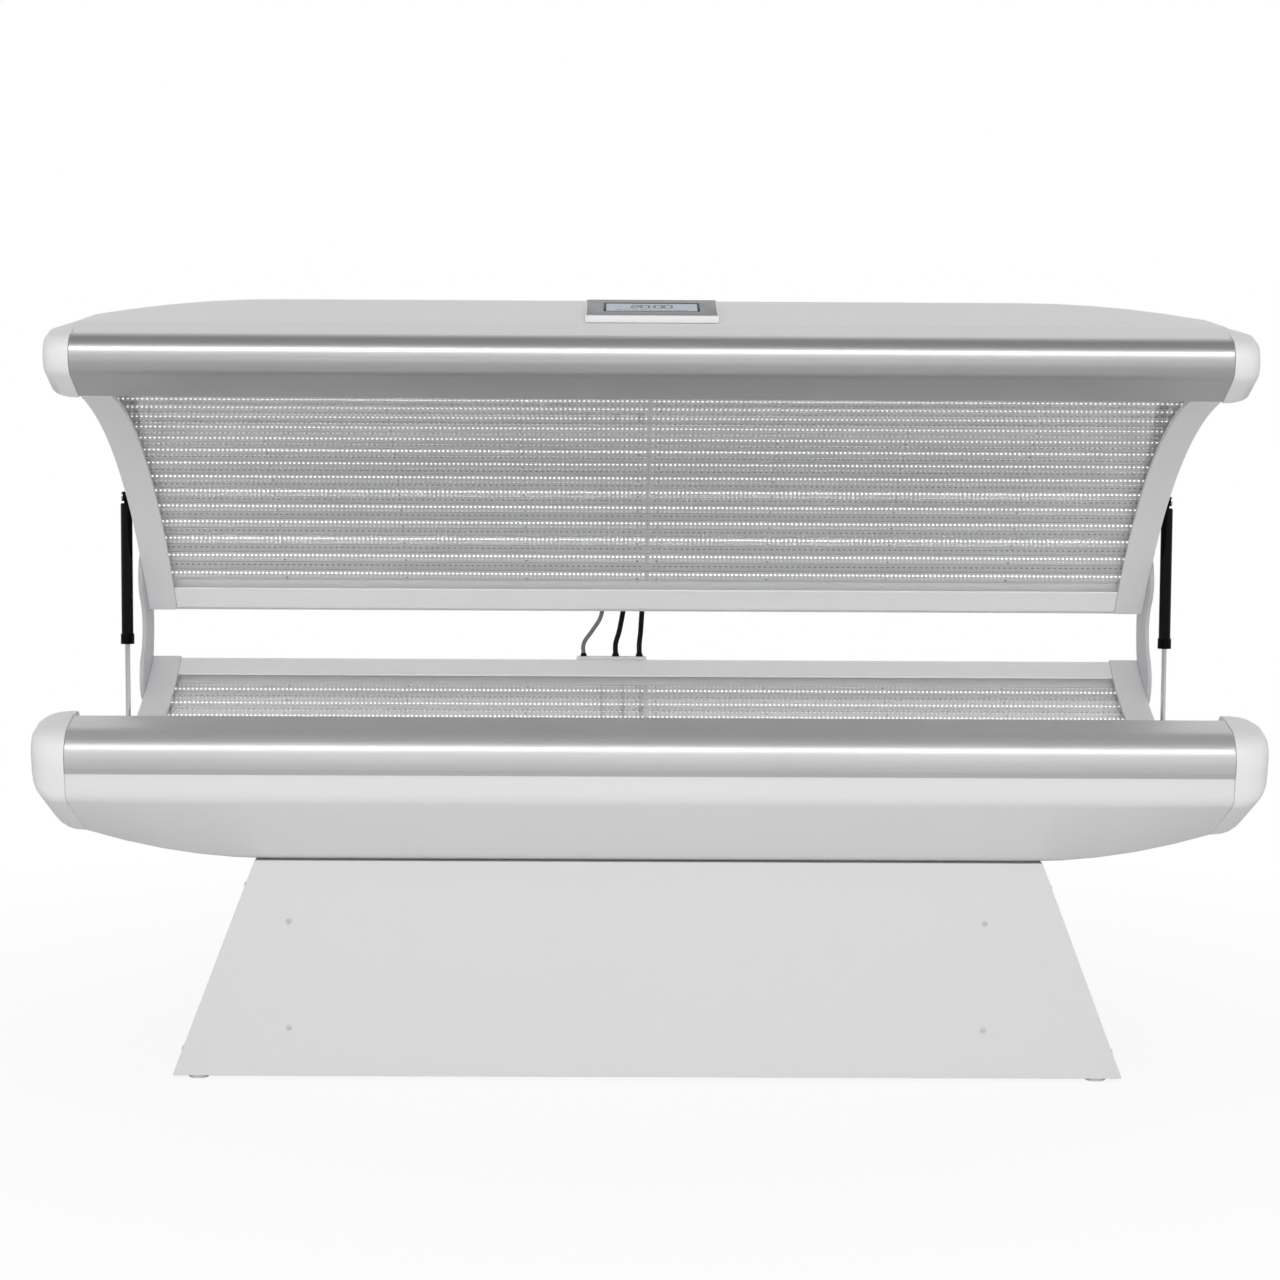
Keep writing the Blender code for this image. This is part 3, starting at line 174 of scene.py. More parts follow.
# Display: the timer's figures, its colon, the row of bars under them, and the gasket
DISPLAY_LIFT = 1.3 * MM
DISPLAY_UPWARD = 0.5
FIGURE_SEGMENTS = {"0": "abcdef", "2": "abged"}
FIGURES_X_MM = ((-30, "2"), (-12, "0"), (12, "0"), (30, "0"))
FIGURES_Y = 8 * MM
FIGURE_HEIGHT = 28 * MM
FIGURE_WIDTH = 0.5 * FIGURE_HEIGHT
FIGURE_STROKE = 0.15 * FIGURE_HEIGHT
FIGURE_THICKNESS = 0.2 * MM
COLON_DOT = Vector((2.5 * MM, 2.5 * MM, FIGURE_THICKNESS))
COLON_Y_MM = (12, 4)
BAR_SIZE = Vector((12 * MM, 4 * MM, FIGURE_THICKNESS))
BARS_X_MM = range(-60, 61, 15)
BARS_Y = -28 * MM
GASKET_WIDTH = 4.5 * MM
GASKET_THICKNESS = 0.8 * MM
GASKET_ROUND = 0.2 * MM
GASKET_INSET = 3 * MM
# Faces of the panel that look this much along the display belong to the bezel
BEZEL_FACING = 0.95

# Routes of the three leads, repeated from the solids: diameters and X. Y and Z are shared
LEADS = (
    ("power_lead", 11 * MM, (-0.0470, -0.0470, -0.0490, -0.0520, -0.0570, -0.0640, -0.0640)),
    ("earth_lead", 11 * MM, (-0.0080, -0.0080, -0.0085, -0.0095, -0.0110, -0.0135, -0.0135)),
    ("signal_lead", 9 * MM, (-0.0900, -0.0900, -0.0935, -0.0995, -0.1160, -0.1320, -0.1320)),
)
LEADS_Y = (0.5195, 0.5360, 0.5487, 0.5556, 0.5570, 0.5570, 0.5570)
LEADS_Z = (0.8290, 0.8195, 0.8027, 0.7849, 0.7600, 0.7350, 0.7086)
LEAD_STEP = 4 * MM
# A boot's outline: how much wider than the lead, and how far from the grommet
BOOT_PROFILE_MM = ((2.4, 0), (2.2, 2), (0.9, 6), (0.3, 7))

# Camera as solved from the photo's outlines: lens in mm on the sensor's width, turns in degrees
CAMERA_X = -0.0605
CAMERA_SENSOR = 36
CAMERA_LENS = 88.94
CAMERA_TURNS = (90 - 5.13, -0.304, -0.386)
FLOOR_RADIUS = 60
# Half sizes of the floor that the pedestal hides
FLOOR_HIDDEN = (("X", 0.862), ("Y", 0.327))

# Brushing runs along the bed. Its lines are a few times coarser than real so that they show
BRUSHED = (0.012, 1, 1)
# Finishes: material name, colour and surface. Grain and bump are in mm
FINISHES = {
    # Gel coated moulding: satin white with a faint orange peel
    "white_shell": ("gel_coated_shell", "shell", dict(roughness=0.36, grain=9, shade=0.03)),
    # Moulded ABS with a fine spark texture, a little brighter and duller than the shell
    "white_cap": (
        "moulded_abs_cap",
        "cap",
        dict(roughness=0.42, grain=1.6, shade=0.03, bump=0.06),
    ),
    # Moulded satin ABS, white
    "white_cheek": ("moulded_abs_cheek", "cheek", dict(roughness=0.40, grain=4, shade=0.04)),
    # Stoved white paint on the folded rear rails, the brightest white of the bed
    "white_rail": (
        "white_painted_rail",
        "rail",
        dict(roughness=0.30, grain=4, shade=0.02, bump=0.03),
    ),
    # Brushed and anodised aluminium: long fine lines stretch the highlight along the bed
    "satin_aluminium": (
        "brushed_anodised_aluminium",
        "aluminium",
        dict(roughness=0.32, grain=2.2, shade=0.16, bump=0.03, metallic=0.85, stretch=BRUSHED),
    ),
    # The bench's trim gets a slightly rougher, less metallic and paler copy of the same anodised
    # aluminium: painted light that lifts its dark reflection of the canopy above it
    "bench_aluminium_painted_light": (
        "worn_anodised_aluminium",
        "bench_aluminium_painted_light",
        dict(roughness=0.34, grain=2.2, shade=0.14, bump=0.03, metallic=0.6, stretch=BRUSHED),
    ),
    # Powder coat on folded sheet and on plate: dull, with a soft orange peel
    "painted_sheet": ("powder_coated_sheet", "skirt", dict(roughness=0.55, grain=3, shade=0.03)),
    "painted_steel": (
        "powder_coated_plate",
        "frame_steel",
        dict(roughness=0.48, grain=3, shade=0.05),
    ),
    # Aluminium backed circuit boards with a white solder mask and long copper tracks under it
    "led_board": (
        "led_board_mask",
        "led_board",
        dict(roughness=0.42, grain=3.2, shade=0.16, stretch=(0.03, 1, 1)),
    ),
    "driver_board": (
        "driver_board_mask",
        "driver_board",
        dict(roughness=0.48, grain=2.6, shade=0.26, stretch=(0.06, 1, 1)),
    ),
    # Rolled aluminium as the mill leaves it, dulled
    "tray": (
        "mill_finish_tray",
        "tray",
        dict(roughness=0.55, grain=4, shade=0.25, metallic=0.3, stretch=(0.05, 1, 1)),
    ),
    # Painted margin of the tray: even and pale behind the clear sheet
    "tray_margin": (
        "white_painted_tray_margin",
        "cheek",
        dict(roughness=0.35, grain=5, shade=0.05, bump=0.04),
    ),
    # White silicone lens. The LEDs are unlit: its glow is painted light that makes each one stand
    # out as a bright dot
    "led_lens": (
        "silicone_led_lens",
        "led_lens",
        dict(roughness=0.18, grain=1.5, shade=0.02, bump=0.02, glow=1.8),
    ),
    # Glazed ceramic chips
    "resistor": (
        "glazed_resistor",
        "resistor",
        dict(roughness=0.35, grain=1, shade=0.2, bump=0.03),
    ),
    # Ground and plated steel
    "bright_steel": (
        "ground_steel",
        "steel",
        dict(roughness=0.22, grain=1.2, shade=0.12, bump=0.02, metallic=1, stretch=(1, 1, 0.1)),
    ),
    # Stoved gloss enamel on the strut barrels
    "black_paint": (
        "stoved_black_enamel",
        "black",
        dict(roughness=0.16, grain=6, shade=0.2, bump=0.03, specular=0.1),
    ),
    # Moulded nylon of the fan, the inlet and the boards' plugs
    "black_plastic": ("moulded_black_nylon", "nylon", dict(roughness=0.45, grain=1.5, shade=0.25)),
    # Soft PVC of the leads, their boots and the display's gasket
    "black_rubber": (
        "black_pvc_rubber",
        "black",
        dict(roughness=0.48, grain=2, shade=0.25, specular=0.2),
    ),
    "grey_rubber": ("grey_pvc", "grey_lead", dict(roughness=0.48, grain=2, shade=0.12)),
    # Pale polyamide, so that the feet pass for the skirt's edge
    "pale_foot": ("pale_polyamide_foot", "foot", dict(roughness=0.5, grain=2, shade=0.06)),
    # Turned bronze of the hinge bushes
    "bronze": (
        "turned_bronze",
        "bronze",
        dict(roughness=0.3, grain=1.2, shade=0.2, bump=0.03, metallic=1),
    ),
    # Bezel of silver painted plastic
    "silver_bezel": (
        "silver_painted_bezel",
        "bezel",
        dict(roughness=0.42, grain=1.4, shade=0.08, bump=0.03, metallic=0.25),
    ),
    # Liquid crystal display behind clear glass: even, pale and glossy, with dark figures
    "display_glass": (
        "liquid_crystal_display",
        "display",
        dict(roughness=0.10, grain=14, shade=0.06, bump=0.0, specular=0.2),
    ),
    "figures": (
        "display_figures",
        "figures",
        dict(roughness=0.25, grain=3, shade=0.1, bump=0.0, specular=0.1),
    ),
}


def length_property(name, description, default):
    return bpy.props.FloatProperty(
        name=name, description=description, default=default, unit="LENGTH"
    )


def colour_property(name, code):
    return bpy.props.StringProperty(
        name=name, description=f"{name} as an sRGB hex value", default=code
    )


class BedSizes(bpy.types.PropertyGroup):
    """Sizes of the small pieces that a user may change."""

    led_spacing: length_property("LED spacing", "Distance between LEDs along a board", 9.0 * MM)
    led_diameter: length_property("LED diameter", "Width of one LED lens", 4.0 * MM)
    resistor_spacing: length_property(
        "Resistor spacing", "Distance between resistors along a driver board", 11.6 * MM
    )
    screw_diameter: length_property("Screw head", "Width of the skirt screws' heads", 11 * MM)
    edge_softness: length_property(
        "Edge softness", "Rounding of moulded and cut edges", 0.8 * MM
    )
    camera_distance: length_property(
        "Camera distance", "From the lens to the bench's nose", 5.58
    )
    camera_height: length_property("Camera height", "From the floor to the lens", 1.3462)


class BedColours(bpy.types.PropertyGroup):
    """Colours of the finishes, as sRGB hex values."""

    shell: colour_property("Shell white", "E6E6E7")
    cap: colour_property("End cap white", "EDEDEE")
    cheek: colour_property("Cheek white", "ECECED")
    rail: colour_property("Rail white", "FAFAFA")
    aluminium: colour_property("Aluminium trim", "C7C7C8")
    # Paler than the trim's aluminium: painted light on the bench's trim
    bench_aluminium_painted_light: colour_property("Bench trim aluminium with painted light", "CECECF")
    skirt: colour_property("Powder coated sheet", "E0E0E0")
    frame_steel: colour_property("Painted steel", "D2D3D5")
    led_board: colour_property("LED board", "F4F5F5")
    driver_board: colour_property("Driver board", "EEEEEF")
    tray: colour_property("Tray", "C6C7C9")
    led_lens: colour_property("LED lens", "FFFFFF")
    resistor: colour_property("Resistor", "4E4E52")
    steel: colour_property("Bright steel", "C9CACC")
    black: colour_property("Black enamel and rubber", "060607")
    nylon: colour_property("Black nylon", "1B1B1C")
    foot: colour_property("Foot", "D6D6D7")
    grey_lead: colour_property("Grey lead", "77787B")
    bronze: colour_property("Bronze", "A5813F")
    bezel: colour_property("Silver bezel", "84878A")
    display: colour_property("Display", "90A6B9")
    figures: colour_property("Display figures", "2C3A46")
    acrylic: colour_property("Clear acrylic", "FBFCFC")
    floor: colour_property("Studio floor", "EDEDED")


def hex_linear(code):
    """A hex sRGB value as linear RGBA."""
    channels = [int(code[i : i + 2], 16) / 255 for i in (0, 2, 4)]
    linear = [c / 12.92 if c <= 0.04045 else ((c + 0.055) / 1.055) ** 2.4 for c in channels]
    return (*linear, 1.0)


def shaded(colour, share):
    """A linear colour made darker by a share."""
    return tuple(c * (1 - share) for c in colour[:3]) + (1.0,)


def add_node(tree, kind, values=None, links=None, **settings):
    """A shader node with its settings, its sockets' values and the sockets that feed it."""
    node = tree.nodes.new("ShaderNode" + kind)
    for key, value in settings.items():
        setattr(node, key, value)
    for key, value in (values or {}).items():
        node.inputs[key].default_value = value
    for key, socket in (links or {}).items():
        tree.links.new(socket, node.inputs[key])
    return node


def new_material(name):
    """A new material, its node tree and its shader."""
    material = bpy.data.materials.new(name)
    material.use_nodes = True
    return material, material.node_tree, material.node_tree.nodes["Principled BSDF"]


def finish_material(
    name,
    colour,
    roughness,
    grain,
    shade,
    bump=0.05,
    metallic=0,
    stretch=(1, 1, 1),
    specular=0.5,
    glow=0,
):
    """A finish with a grain of real size: it moves the colour, the gloss and the surface a little.

    Shade is how much darker the grain may get.
    """
    if name in bpy.data.materials:
        return bpy.data.materials[name]
    material, tree, shader = new_material(name)
    linear = hex_linear(colour)
    shader.inputs["Metallic"].default_value = metallic
    shader.inputs["Specular IOR Level"].default_value = specular
    # A glow is painted light on a surface that is no lamp
    if glow:
        shader.inputs["Emission Color"].default_value = linear
        shader.inputs["Emission Strength"].default_value = glow
    place = add_node(tree, "TexCoord").outputs["Object"]
    scale = tuple(s / (grain * MM) for s in stretch)
    stretched = add_node(tree, "Mapping", {"Scale": scale}, {"Vector": place})
    noise = {"Scale": 1.0, "Detail": 3.0, "Roughness": 0.6}
    fine = add_node(tree, "TexNoise", noise, {"Vector": stretched.outputs[0]}).outputs["Fac"]
    noise = {"Scale": 3.0, "Detail": 2.0}
    broad = add_node(tree, "TexNoise", noise, {"Vector": place}).outputs["Fac"]
    tone = add_node(tree, "Math", {2: 0.15}, {0: fine, 1: broad}, operation="MULTIPLY_ADD")
    mix = add_node(
        tree,
        "Mix",
        {"A": shaded(linear, shade), "B": linear},
        {"Factor": tone.outputs[0]},
        data_type="RGBA",
        clamp_factor=True,
    )
    tree.links.new(mix.outputs["Result"], shader.inputs["Base Color"])
    low, high = roughness * 0.85, min(1.0, roughness * 1.15)
    span = {"From Min": 0.25, "From Max": 0.75, "To Min": low, "To Max": high}
    gloss = add_node(tree, "MapRange", span, {"Value": fine})
    tree.links.new(gloss.outputs["Result"], shader.inputs["Roughness"])
    relief = add_node(tree, "Bump", {"Strength": 0.35, "Distance": bump * MM}, {"Height": fine})
    tree.links.new(relief.outputs["Normal"], shader.inputs["Normal"])
    return material


def acrylic_material(colour):
    """Cast acrylic sheet, polished: clear, glossy, with faint wiping marks in its gloss."""
    name = "cast_clear_acrylic"
    if name in bpy.data.materials:
        return bpy.data.materials[name]
    material, tree, shader = new_material(name)
    shader.inputs["Transmission Weight"].default_value = 1.0
    shader.inputs["IOR"].default_value = 1.49
    shader.inputs["Base Color"].default_value = hex_linear(colour)
    place = add_node(tree, "TexCoord").outputs["Object"]
    marks = add_node(tree, "TexNoise", {"Scale": 14.0, "Detail": 3.0}, {"Vector": place})
    span = {"To Min": 0.01, "To Max": 0.06}
    gloss = add_node(tree, "MapRange", span, {"Value": marks.outputs["Fac"]})
    tree.links.new(gloss.outputs["Result"], shader.inputs["Roughness"])
    # A thin sheet: seen square on it lets light straight through, at a glance it mirrors
    edge = add_node(tree, "LayerWeight", {"Blend": 0.15})
    tree.links.new(edge.outputs["Facing"], shader.inputs["Alpha"])
    return material


def bed_materials():
    """The bed's finishes, each from what the real surface is; the bench trim's paler copy and the
    lenses' glow are painted light.
    """
    tint = bpy.context.scene.bed_colours
    finishes = {}
    for key, (name, colour, surface) in FINISHES.items():
        finishes[key] = finish_material(name, getattr(tint, colour), **surface)
    finishes["clear_acrylic"] = acrylic_material(tint.acrylic)
    return finishes


def finished_mesh(name, bm):
    """A bmesh as a mesh. The bmesh is used up."""
    mesh = bpy.data.meshes.new(name)
    bm.to_mesh(mesh)
    bm.free()
    return mesh


def add_piece(name, bm, finishes, body):
    """Turn a bmesh into a finished piece, which rides on a body if one is given."""
    materials = bed_materials()
    mesh = finished_mesh(name, bm)
    mesh.shade_smooth()
    mesh.set_sharp_from_angle(angle=SMOOTH_ANGLE)
    for finish in finishes:
        mesh.materials.append(materials[finish])
    obj = bpy.data.objects.new(name, mesh)
    bpy.context.scene.collection.objects.link(obj)
    if body:
        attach(obj, body)
    return obj


def soften(obj, width):
    """A small round on the sharp edges, as moulding and deburring leave."""
    bevel = obj.modifiers.new("soft_edges", "BEVEL")
    bevel.width = width
    bevel.segments = 2
    bevel.limit_method = "ANGLE"
    bevel.angle_limit = BEVEL_ANGLE
    bevel.profile = 0.5
    bevel.harden_normals = True


def node_bmesh(node):
    """A CAD node's shape with its loose triangles joined up."""
    bm = bmesh.new()
    bm.from_mesh(frame["nodes"][node].data)
    bmesh.ops.remove_doubles(bm, verts=bm.verts, dist=CAD_MERGE_DISTANCE)
    bmesh.ops.dissolve_limit(
        bm,
        angle_limit=CAD_FLAT_ANGLE,
        verts=bm.verts,
        edges=bm.edges,
        use_dissolve_boundaries=False,
    )
    bm.faces.ensure_lookup_table()
    return bm


def node_slot(node):
    """The material slot that the record gives a CAD node."""
    for part in frame["record"]["subparts"]:
        if part["node"] == node:
            return part["material_slot"]
    raise RuntimeError(f"no slot for {node}")


def dress(nodes, soft=None, finish=None):
    """Replace CAD nodes by smooth copies in their finishes."""
    dressed = []
    for node in nodes:
        slot = node_slot(node)
        body = frame["nodes"][node]["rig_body"]
        obj = add_piece(node + "_skin", node_bmesh(node), [finish or slot], body)
        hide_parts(node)
        if soft:
            soften(obj, soft)
        dressed.append(obj)
    return dressed


def arc_between(start, end, bulge):
    """Centre, radius, first angle and turn of an arc that stands bulge to the left of its chord."""
    chord = end - start
    half = chord.length / 2
    radius = (half * half + bulge * bulge) / (2 * abs(bulge))
    left = Vector((-chord.y, chord.x)).normalized() * math.copysign(1, bulge)
    centre = (start + end) / 2 + left * (abs(bulge) - radius)
    first = math.atan2(start.y - centre.y, start.x - centre.x)
    last = math.atan2(end.y - centre.y, end.x - centre.x)
    turn = (last - first + math.pi) % (2 * math.pi) - math.pi
    return centre, radius, first, turn


def section(half):
    """The arc of one half and the matrix that takes its section to the world."""
    if half == "bench":
        return arc_between(*BENCH_ARC), Matrix.Identity(4)
    place = Matrix.Translation(PIVOT) @ Matrix.Rotation(-OPEN_ANGLE, 4, "X")
    return arc_between(*CANOPY_ARC), place


def arc_length(arc):
    _, radius, _, turn = arc
    return abs(turn) * radius


def boards_rear(arc):
    """Where the rear edge of the last LED board lies, from the arc's middle."""
    return arc_length(arc) / 2 - BOARD_EDGE_MARGIN


def row_count(arc):
    return int((arc_length(arc) - 2 * BOARD_EDGE_MARGIN) / BOARD_PITCH)


def level_turn(up):
    """A turn whose X runs along the bed and whose Z is up."""
    return Matrix((RIGHT, up.cross(RIGHT), up)).transposed().to_4x4()


def on_board(half, along, lift=BOARD_FACE_LIFT):
    """A matrix on the board faces, along metres from the arc's middle.

    Its X runs along the bed and its Z to the user.
    """
    (centre, radius, first, turn), place = section(half)
    angle = first + turn / 2 + math.copysign(1, turn) * along / radius
    spoke = Vector((math.cos(angle), math.sin(angle)))
    point = centre + spoke * (radius + lift)
    up = Vector((0, -spoke.x, -spoke.y))
    return place @ Matrix.Translation((0, point.x, point.y)) @ level_turn(up)


def board_rows(half):
    """Each row's LED line, resistor line and LED board's middle, from the arc's middle."""
    arc = section(half)[0]
    rear = boards_rear(arc)
    groove = (BOARD_PITCH - LED_BOARD_WIDTH - DRIVER_BOARD_WIDTH) / 2
    found = []
    for row in range(row_count(arc)):
        led_board = rear - row * BOARD_PITCH - LED_BOARD_WIDTH
        driver = led_board - groove - DRIVER_BOARD_WIDTH
        middle = led_board + LED_BOARD_WIDTH / 2
        found.append((led_board + LED_LINE, driver + RESISTOR_LINE, middle))
    return found


def row_mesh(build, spacing, reach, gap):
    """A row of like shapes along X, centred, evenly spaced, with a gap at the middle joint."""
    bm = bmesh.new()
    count = int((reach - gap) / spacing)
    for side in (-1, 1):
        for i in range(count):
            build(bm, side * (gap + (i + 0.5) * spacing))
    return finished_mesh("row", bm)


def stamped(mesh, places):
    """A bmesh with one copy of a mesh at each place. The mesh is used up."""
    bm = bmesh.new()
    for place in places:
        before = len(bm.verts)
        bm.from_mesh(mesh)
        bm.verts.ensure_lookup_table()
        bmesh.ops.transform(bm, matrix=place, verts=bm.verts[before:])
    bpy.data.meshes.remove(mesh)
    return bm


def add_block(bm, size, matrix, bevel=0.0):
    """A box in a bmesh, with softened edges if a bevel is given."""
    made = bmesh.ops.create_cube(bm, size=1.0)["verts"]
    bmesh.ops.scale(bm, vec=size, verts=made)
    if bevel:
        edges = list({e for v in made for e in v.link_edges})
        cut = bmesh.ops.bevel(
            bm, geom=edges, offset=bevel, segments=2, profile=0.5, affect="EDGES", material=-1
        )
        made = list({v for f in cut["faces"] for v in f.verts} | {v for v in made if v.is_valid})
    bmesh.ops.transform(bm, matrix=matrix, verts=made)


def spin_profile(bm, verts, edges, matrix, steps):
    """Spin a profile once round local Z and set the shape in its place."""
    before = set(bm.verts) - set(verts)
    bmesh.ops.spin(
        bm,
        geom=verts + edges,
        cent=(0, 0, 0),
        axis=(0, 0, 1),
        angle=2 * math.pi,
        steps=steps,
        use_merge=True,
    )
    made = [v for v in bm.verts if v not in before]
    bmesh.ops.remove_doubles(bm, verts=made, dist=MERGE_DISTANCE)
    made = [v for v in bm.verts if v not in before]
    bmesh.ops.recalc_face_normals(bm, faces=list({f for v in made for f in v.link_faces}))
    bmesh.ops.transform(bm, matrix=matrix, verts=made)


def add_turned(bm, profile, matrix, steps):
    """A turned shape about local Z from (radius, height) points, bottom to top."""
    verts = [bm.verts.new((radius, 0, height)) for radius, height in profile]
    edges = [bm.edges.new(pair) for pair in zip(verts, verts[1:])]
    spin_profile(bm, verts, edges, matrix, steps)


def facing(point, direction):
    """A matrix at a point whose Z runs along a direction."""
    turn = Vector(direction).to_track_quat("Z", "Y").to_matrix().to_4x4()
    return Matrix.Translation(point) @ turn


def screw_mesh(diameter, steps=18):
    """A button head screw with a round socket, its head along Z."""
    profile = [(r * diameter / 2, z * diameter / 2) for r, z in SCREW_PROFILE]
    bm = bmesh.new()
    add_turned(bm, profile, Matrix.Identity(4), steps)
    return finished_mesh("screw", bm)


class BED_OT_shells(bpy.types.Operator):
    """Moulded shells of the bench and the canopy"""

    bl_idname = "bed.shells"
    bl_label = "Shells"

    def execute(self, context):
        soft = context.scene.bed_sizes.edge_softness
        dress(["bench_shell", "canopy_shell"], soft)
        return {"FINISHED"}


class BED_OT_trims(bpy.types.Operator):
    """Aluminium front trims"""

    bl_idname = "bed.trims"
    bl_label = "Front trims"

    def execute(self, context):
        soft = context.scene.bed_sizes.edge_softness
        # The bench's trim takes the paler copy of the aluminium: painted light
        dress(["bench_front_trim"], soft, "bench_aluminium_painted_light")
        dress(["canopy_front_trim"], soft)
        return {"FINISHED"}


class BED_OT_end_caps(bpy.types.Operator):
    """Moulded end caps on the four front corners"""

    bl_idname = "bed.end_caps"
    bl_label = "End caps"

    def execute(self, context):
        nodes = [f"{half}_{side}_end_cap" for half in HALVES for side, _ in SIDES]
        dress(nodes, 2 * context.scene.bed_sizes.edge_softness)
        return {"FINISHED"}


class BED_OT_cheeks_and_rails(bpy.types.Operator):
    """Curved cheeks, rear rails and end frames"""

    bl_idname = "bed.cheeks_and_rails"
    bl_label = "Cheeks and rails"

    def execute(self, context):
        soft = context.scene.bed_sizes.edge_softness
        for half in HALVES:
            dress([f"{half}_{side}_cheek" for side, _ in SIDES], 2 * soft)
            dress([f"{half}_rear_rail"], soft, "white_rail")
            dress([f"{half}_{side}_end_frame" for side, _ in SIDES], soft)
        return {"FINISHED"}


class BED_OT_clear_sheets(bpy.types.Operator):
    """Curved clear sheets"""

    bl_idname = "bed.clear_sheets"
    bl_label = "Clear sheets"

    def execute(self, context):
        dress(["bench_clear_sheet", "canopy_clear_sheet"])
        return {"FINISHED"}


class BED_OT_led_trays(bpy.types.Operator):
    """Trays with LED boards, driver boards, lenses, resistors and plugs"""

    bl_idname = "bed.led_trays"
    bl_label = "LED trays"

    def tray(self, half):
        """The tray with its boards in their own colours."""
        node = f"{half}_led_tray"
        arc, place = section(half)
        centre, radius, first, turn = arc
        to_section = place.inverted()
        rear = boards_rear(arc)
        front = rear - row_count(arc) * BOARD_PITCH
        bm = node_bmesh(node)
        for face in bm.faces:
            point = to_section @ face.calc_center_median()
            spoke = Vector((point.y, point.z)) - centre
            angle = math.atan2(spoke.y, spoke.x)
            swing = (angle - first - turn / 2 + math.pi) % (2 * math.pi) - math.pi
            along = swing * math.copysign(1, turn) * radius
            off_face = abs(spoke.length - radius - BOARD_FACE_LIFT) >= BOARD_FACE_PLAY
            if not front < along < rear:
                skin = "tray_margin"
            elif off_face or abs(face.normal.x) >= BOARD_END_FACING:
                skin = "tray"
            elif (rear - along) % BOARD_PITCH < LED_BOARD_WIDTH:
                skin = "led_board"
            else:
                skin = "driver_board"
            face.material_index = TRAY_SKINS.index(skin)
        obj = add_piece(node + "_skin", bm, TRAY_SKINS, half)
        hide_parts(node)

    def edge_reflector(self, half):
        """A slanted white strip from the last LED board to the clear sheet."""
        rear = boards_rear(section(half)[0])
        places = [
            on_board(half, rear + along * MM, lift * MM) for along, lift in REFLECTOR_SECTION_MM
        ]
        bm = bmesh.new()
        rings = []
        for x in (-BOARD_HALF_LENGTH, BOARD_HALF_LENGTH):
            rings.append([bm.verts.new(place @ Vector((x, 0, 0))) for place in places])
        for i in range(len(places)):
            bm.faces.new((rings[0][i], rings[0][i - 1], rings[1][i - 1], rings[1][i]))
        bm.faces.new(rings[0])
        bm.faces.new(rings[1][::-1])
        bmesh.ops.recalc_face_normals(bm, faces=bm.faces)
        add_piece(f"{half}_edge_reflector", bm, ["tray_margin"], half)

    def lenses(self, half, sizes):
        radius = sizes.led_diameter / 2

        def lens(bm, x):
            bmesh.ops.create_cone(
                bm,
                cap_ends=True,
                segments=8,
                radius1=radius,
                radius2=radius * LENS_TAPER,
                depth=LENS_DEPTH,
                matrix=Matrix.Translation((x, 0, LENS_LIFT)),
            )

        row = row_mesh(lens, sizes.led_spacing, LENS_ROW_REACH, LENS_ROW_GAP)
        bm = stamped(row, [on_board(half, led) for led, _, _ in board_rows(half)])
        add_piece(f"{half}_led_lenses", bm, ["led_lens"], half)

    def resistors(self, half, sizes):
        def chip(bm, x):
            add_block(bm, RESISTOR_SIZE, Matrix.Translation((x, 0, RESISTOR_LIFT)))

        row = row_mesh(chip, sizes.resistor_spacing, RESISTOR_ROW_REACH, RESISTOR_ROW_GAP)
        bm = stamped(row, [on_board(half, resistor) for _, resistor, _ in board_rows(half)])
        add_piece(f"{half}_resistors", bm, ["resistor"], half)

    def board_ends(self, half):
        """Plugs at both ends of each LED board and the joint at its middle."""
        plugs = bmesh.new()
        joints = bmesh.new()
        x, y, z = PLUG_PLACE
        for _, _, middle in board_rows(half):
            place = on_board(half, middle)
            for side in (-1, 1):
                shift = Matrix.Translation((side * x, y, z))
                add_block(plugs, PLUG_SIZE, place @ shift, PLUG_ROUND)
            add_block(joints, JOINT_SIZE, place @ Matrix.Translation((0, 0, JOINT_LIFT)))
        add_piece(f"{half}_board_plugs", plugs, ["black_plastic"], half)
        add_piece(f"{half}_board_joints", joints, ["tray"], half)

    def board_screws(self, half):
        places = []
        for _, _, middle in board_rows(half):
            place = on_board(half, middle + BOARD_SCREW_SHIFT)
            places += [place @ Matrix.Translation((x * MM, 0, 0)) for x in BOARD_SCREWS_X_MM]
        bm = stamped(screw_mesh(BOARD_SCREW_DIAMETER, BOARD_SCREW_STEPS), places)
        add_piece(f"{half}_board_screws", bm, ["bright_steel"], half)

    def execute(self, context):
        sizes = context.scene.bed_sizes
        for half in HALVES:
            self.tray(half)
            self.edge_reflector(half)
            self.lenses(half, sizes)
            self.resistors(half, sizes)
            self.board_ends(half)
            self.board_screws(half)
        return {"FINISHED"}


class BED_OT_hinges(bpy.types.Operator):
    """Crescent hinge arms, pins and bushes"""

    bl_idname = "bed.hinges"
    bl_label = "Hinges"

    def execute(self, context):
        soft = context.scene.bed_sizes.edge_softness
        for side, sign in SIDES:
            dress([f"{side}_hinge_arm", f"{side}_hinge_pin"], soft)
            dress([f"{side}_hinge_bush"])
            low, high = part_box(f"{side}_hinge_arm")
            x = high.x if sign > 0 else low.x
            places = [facing(Vector((x, y, z)), (sign, 0, 0)) for y, z in HINGE_SCREWS_YZ]
            bm = stamped(screw_mesh(HINGE_SCREW_DIAMETER), places)
            add_piece(f"{side}_hinge_arm_screws", bm, ["bright_steel"], "bench")
        return {"FINISHED"}


class BED_OT_struts(bpy.types.Operator):
    """Gas struts and their studs"""

    bl_idname = "bed.struts"
    bl_label = "Gas struts"

    def execute(self, context):
        soft = 0.5 * context.scene.bed_sizes.edge_softness
        for side, _ in SIDES:
            dress([f"{side}_strut_barrel", f"{side}_strut_rod"], soft)
            dress([f"{side}_strut_upper_stud", f"{side}_strut_lower_stud"], soft)
        return {"FINISHED"}


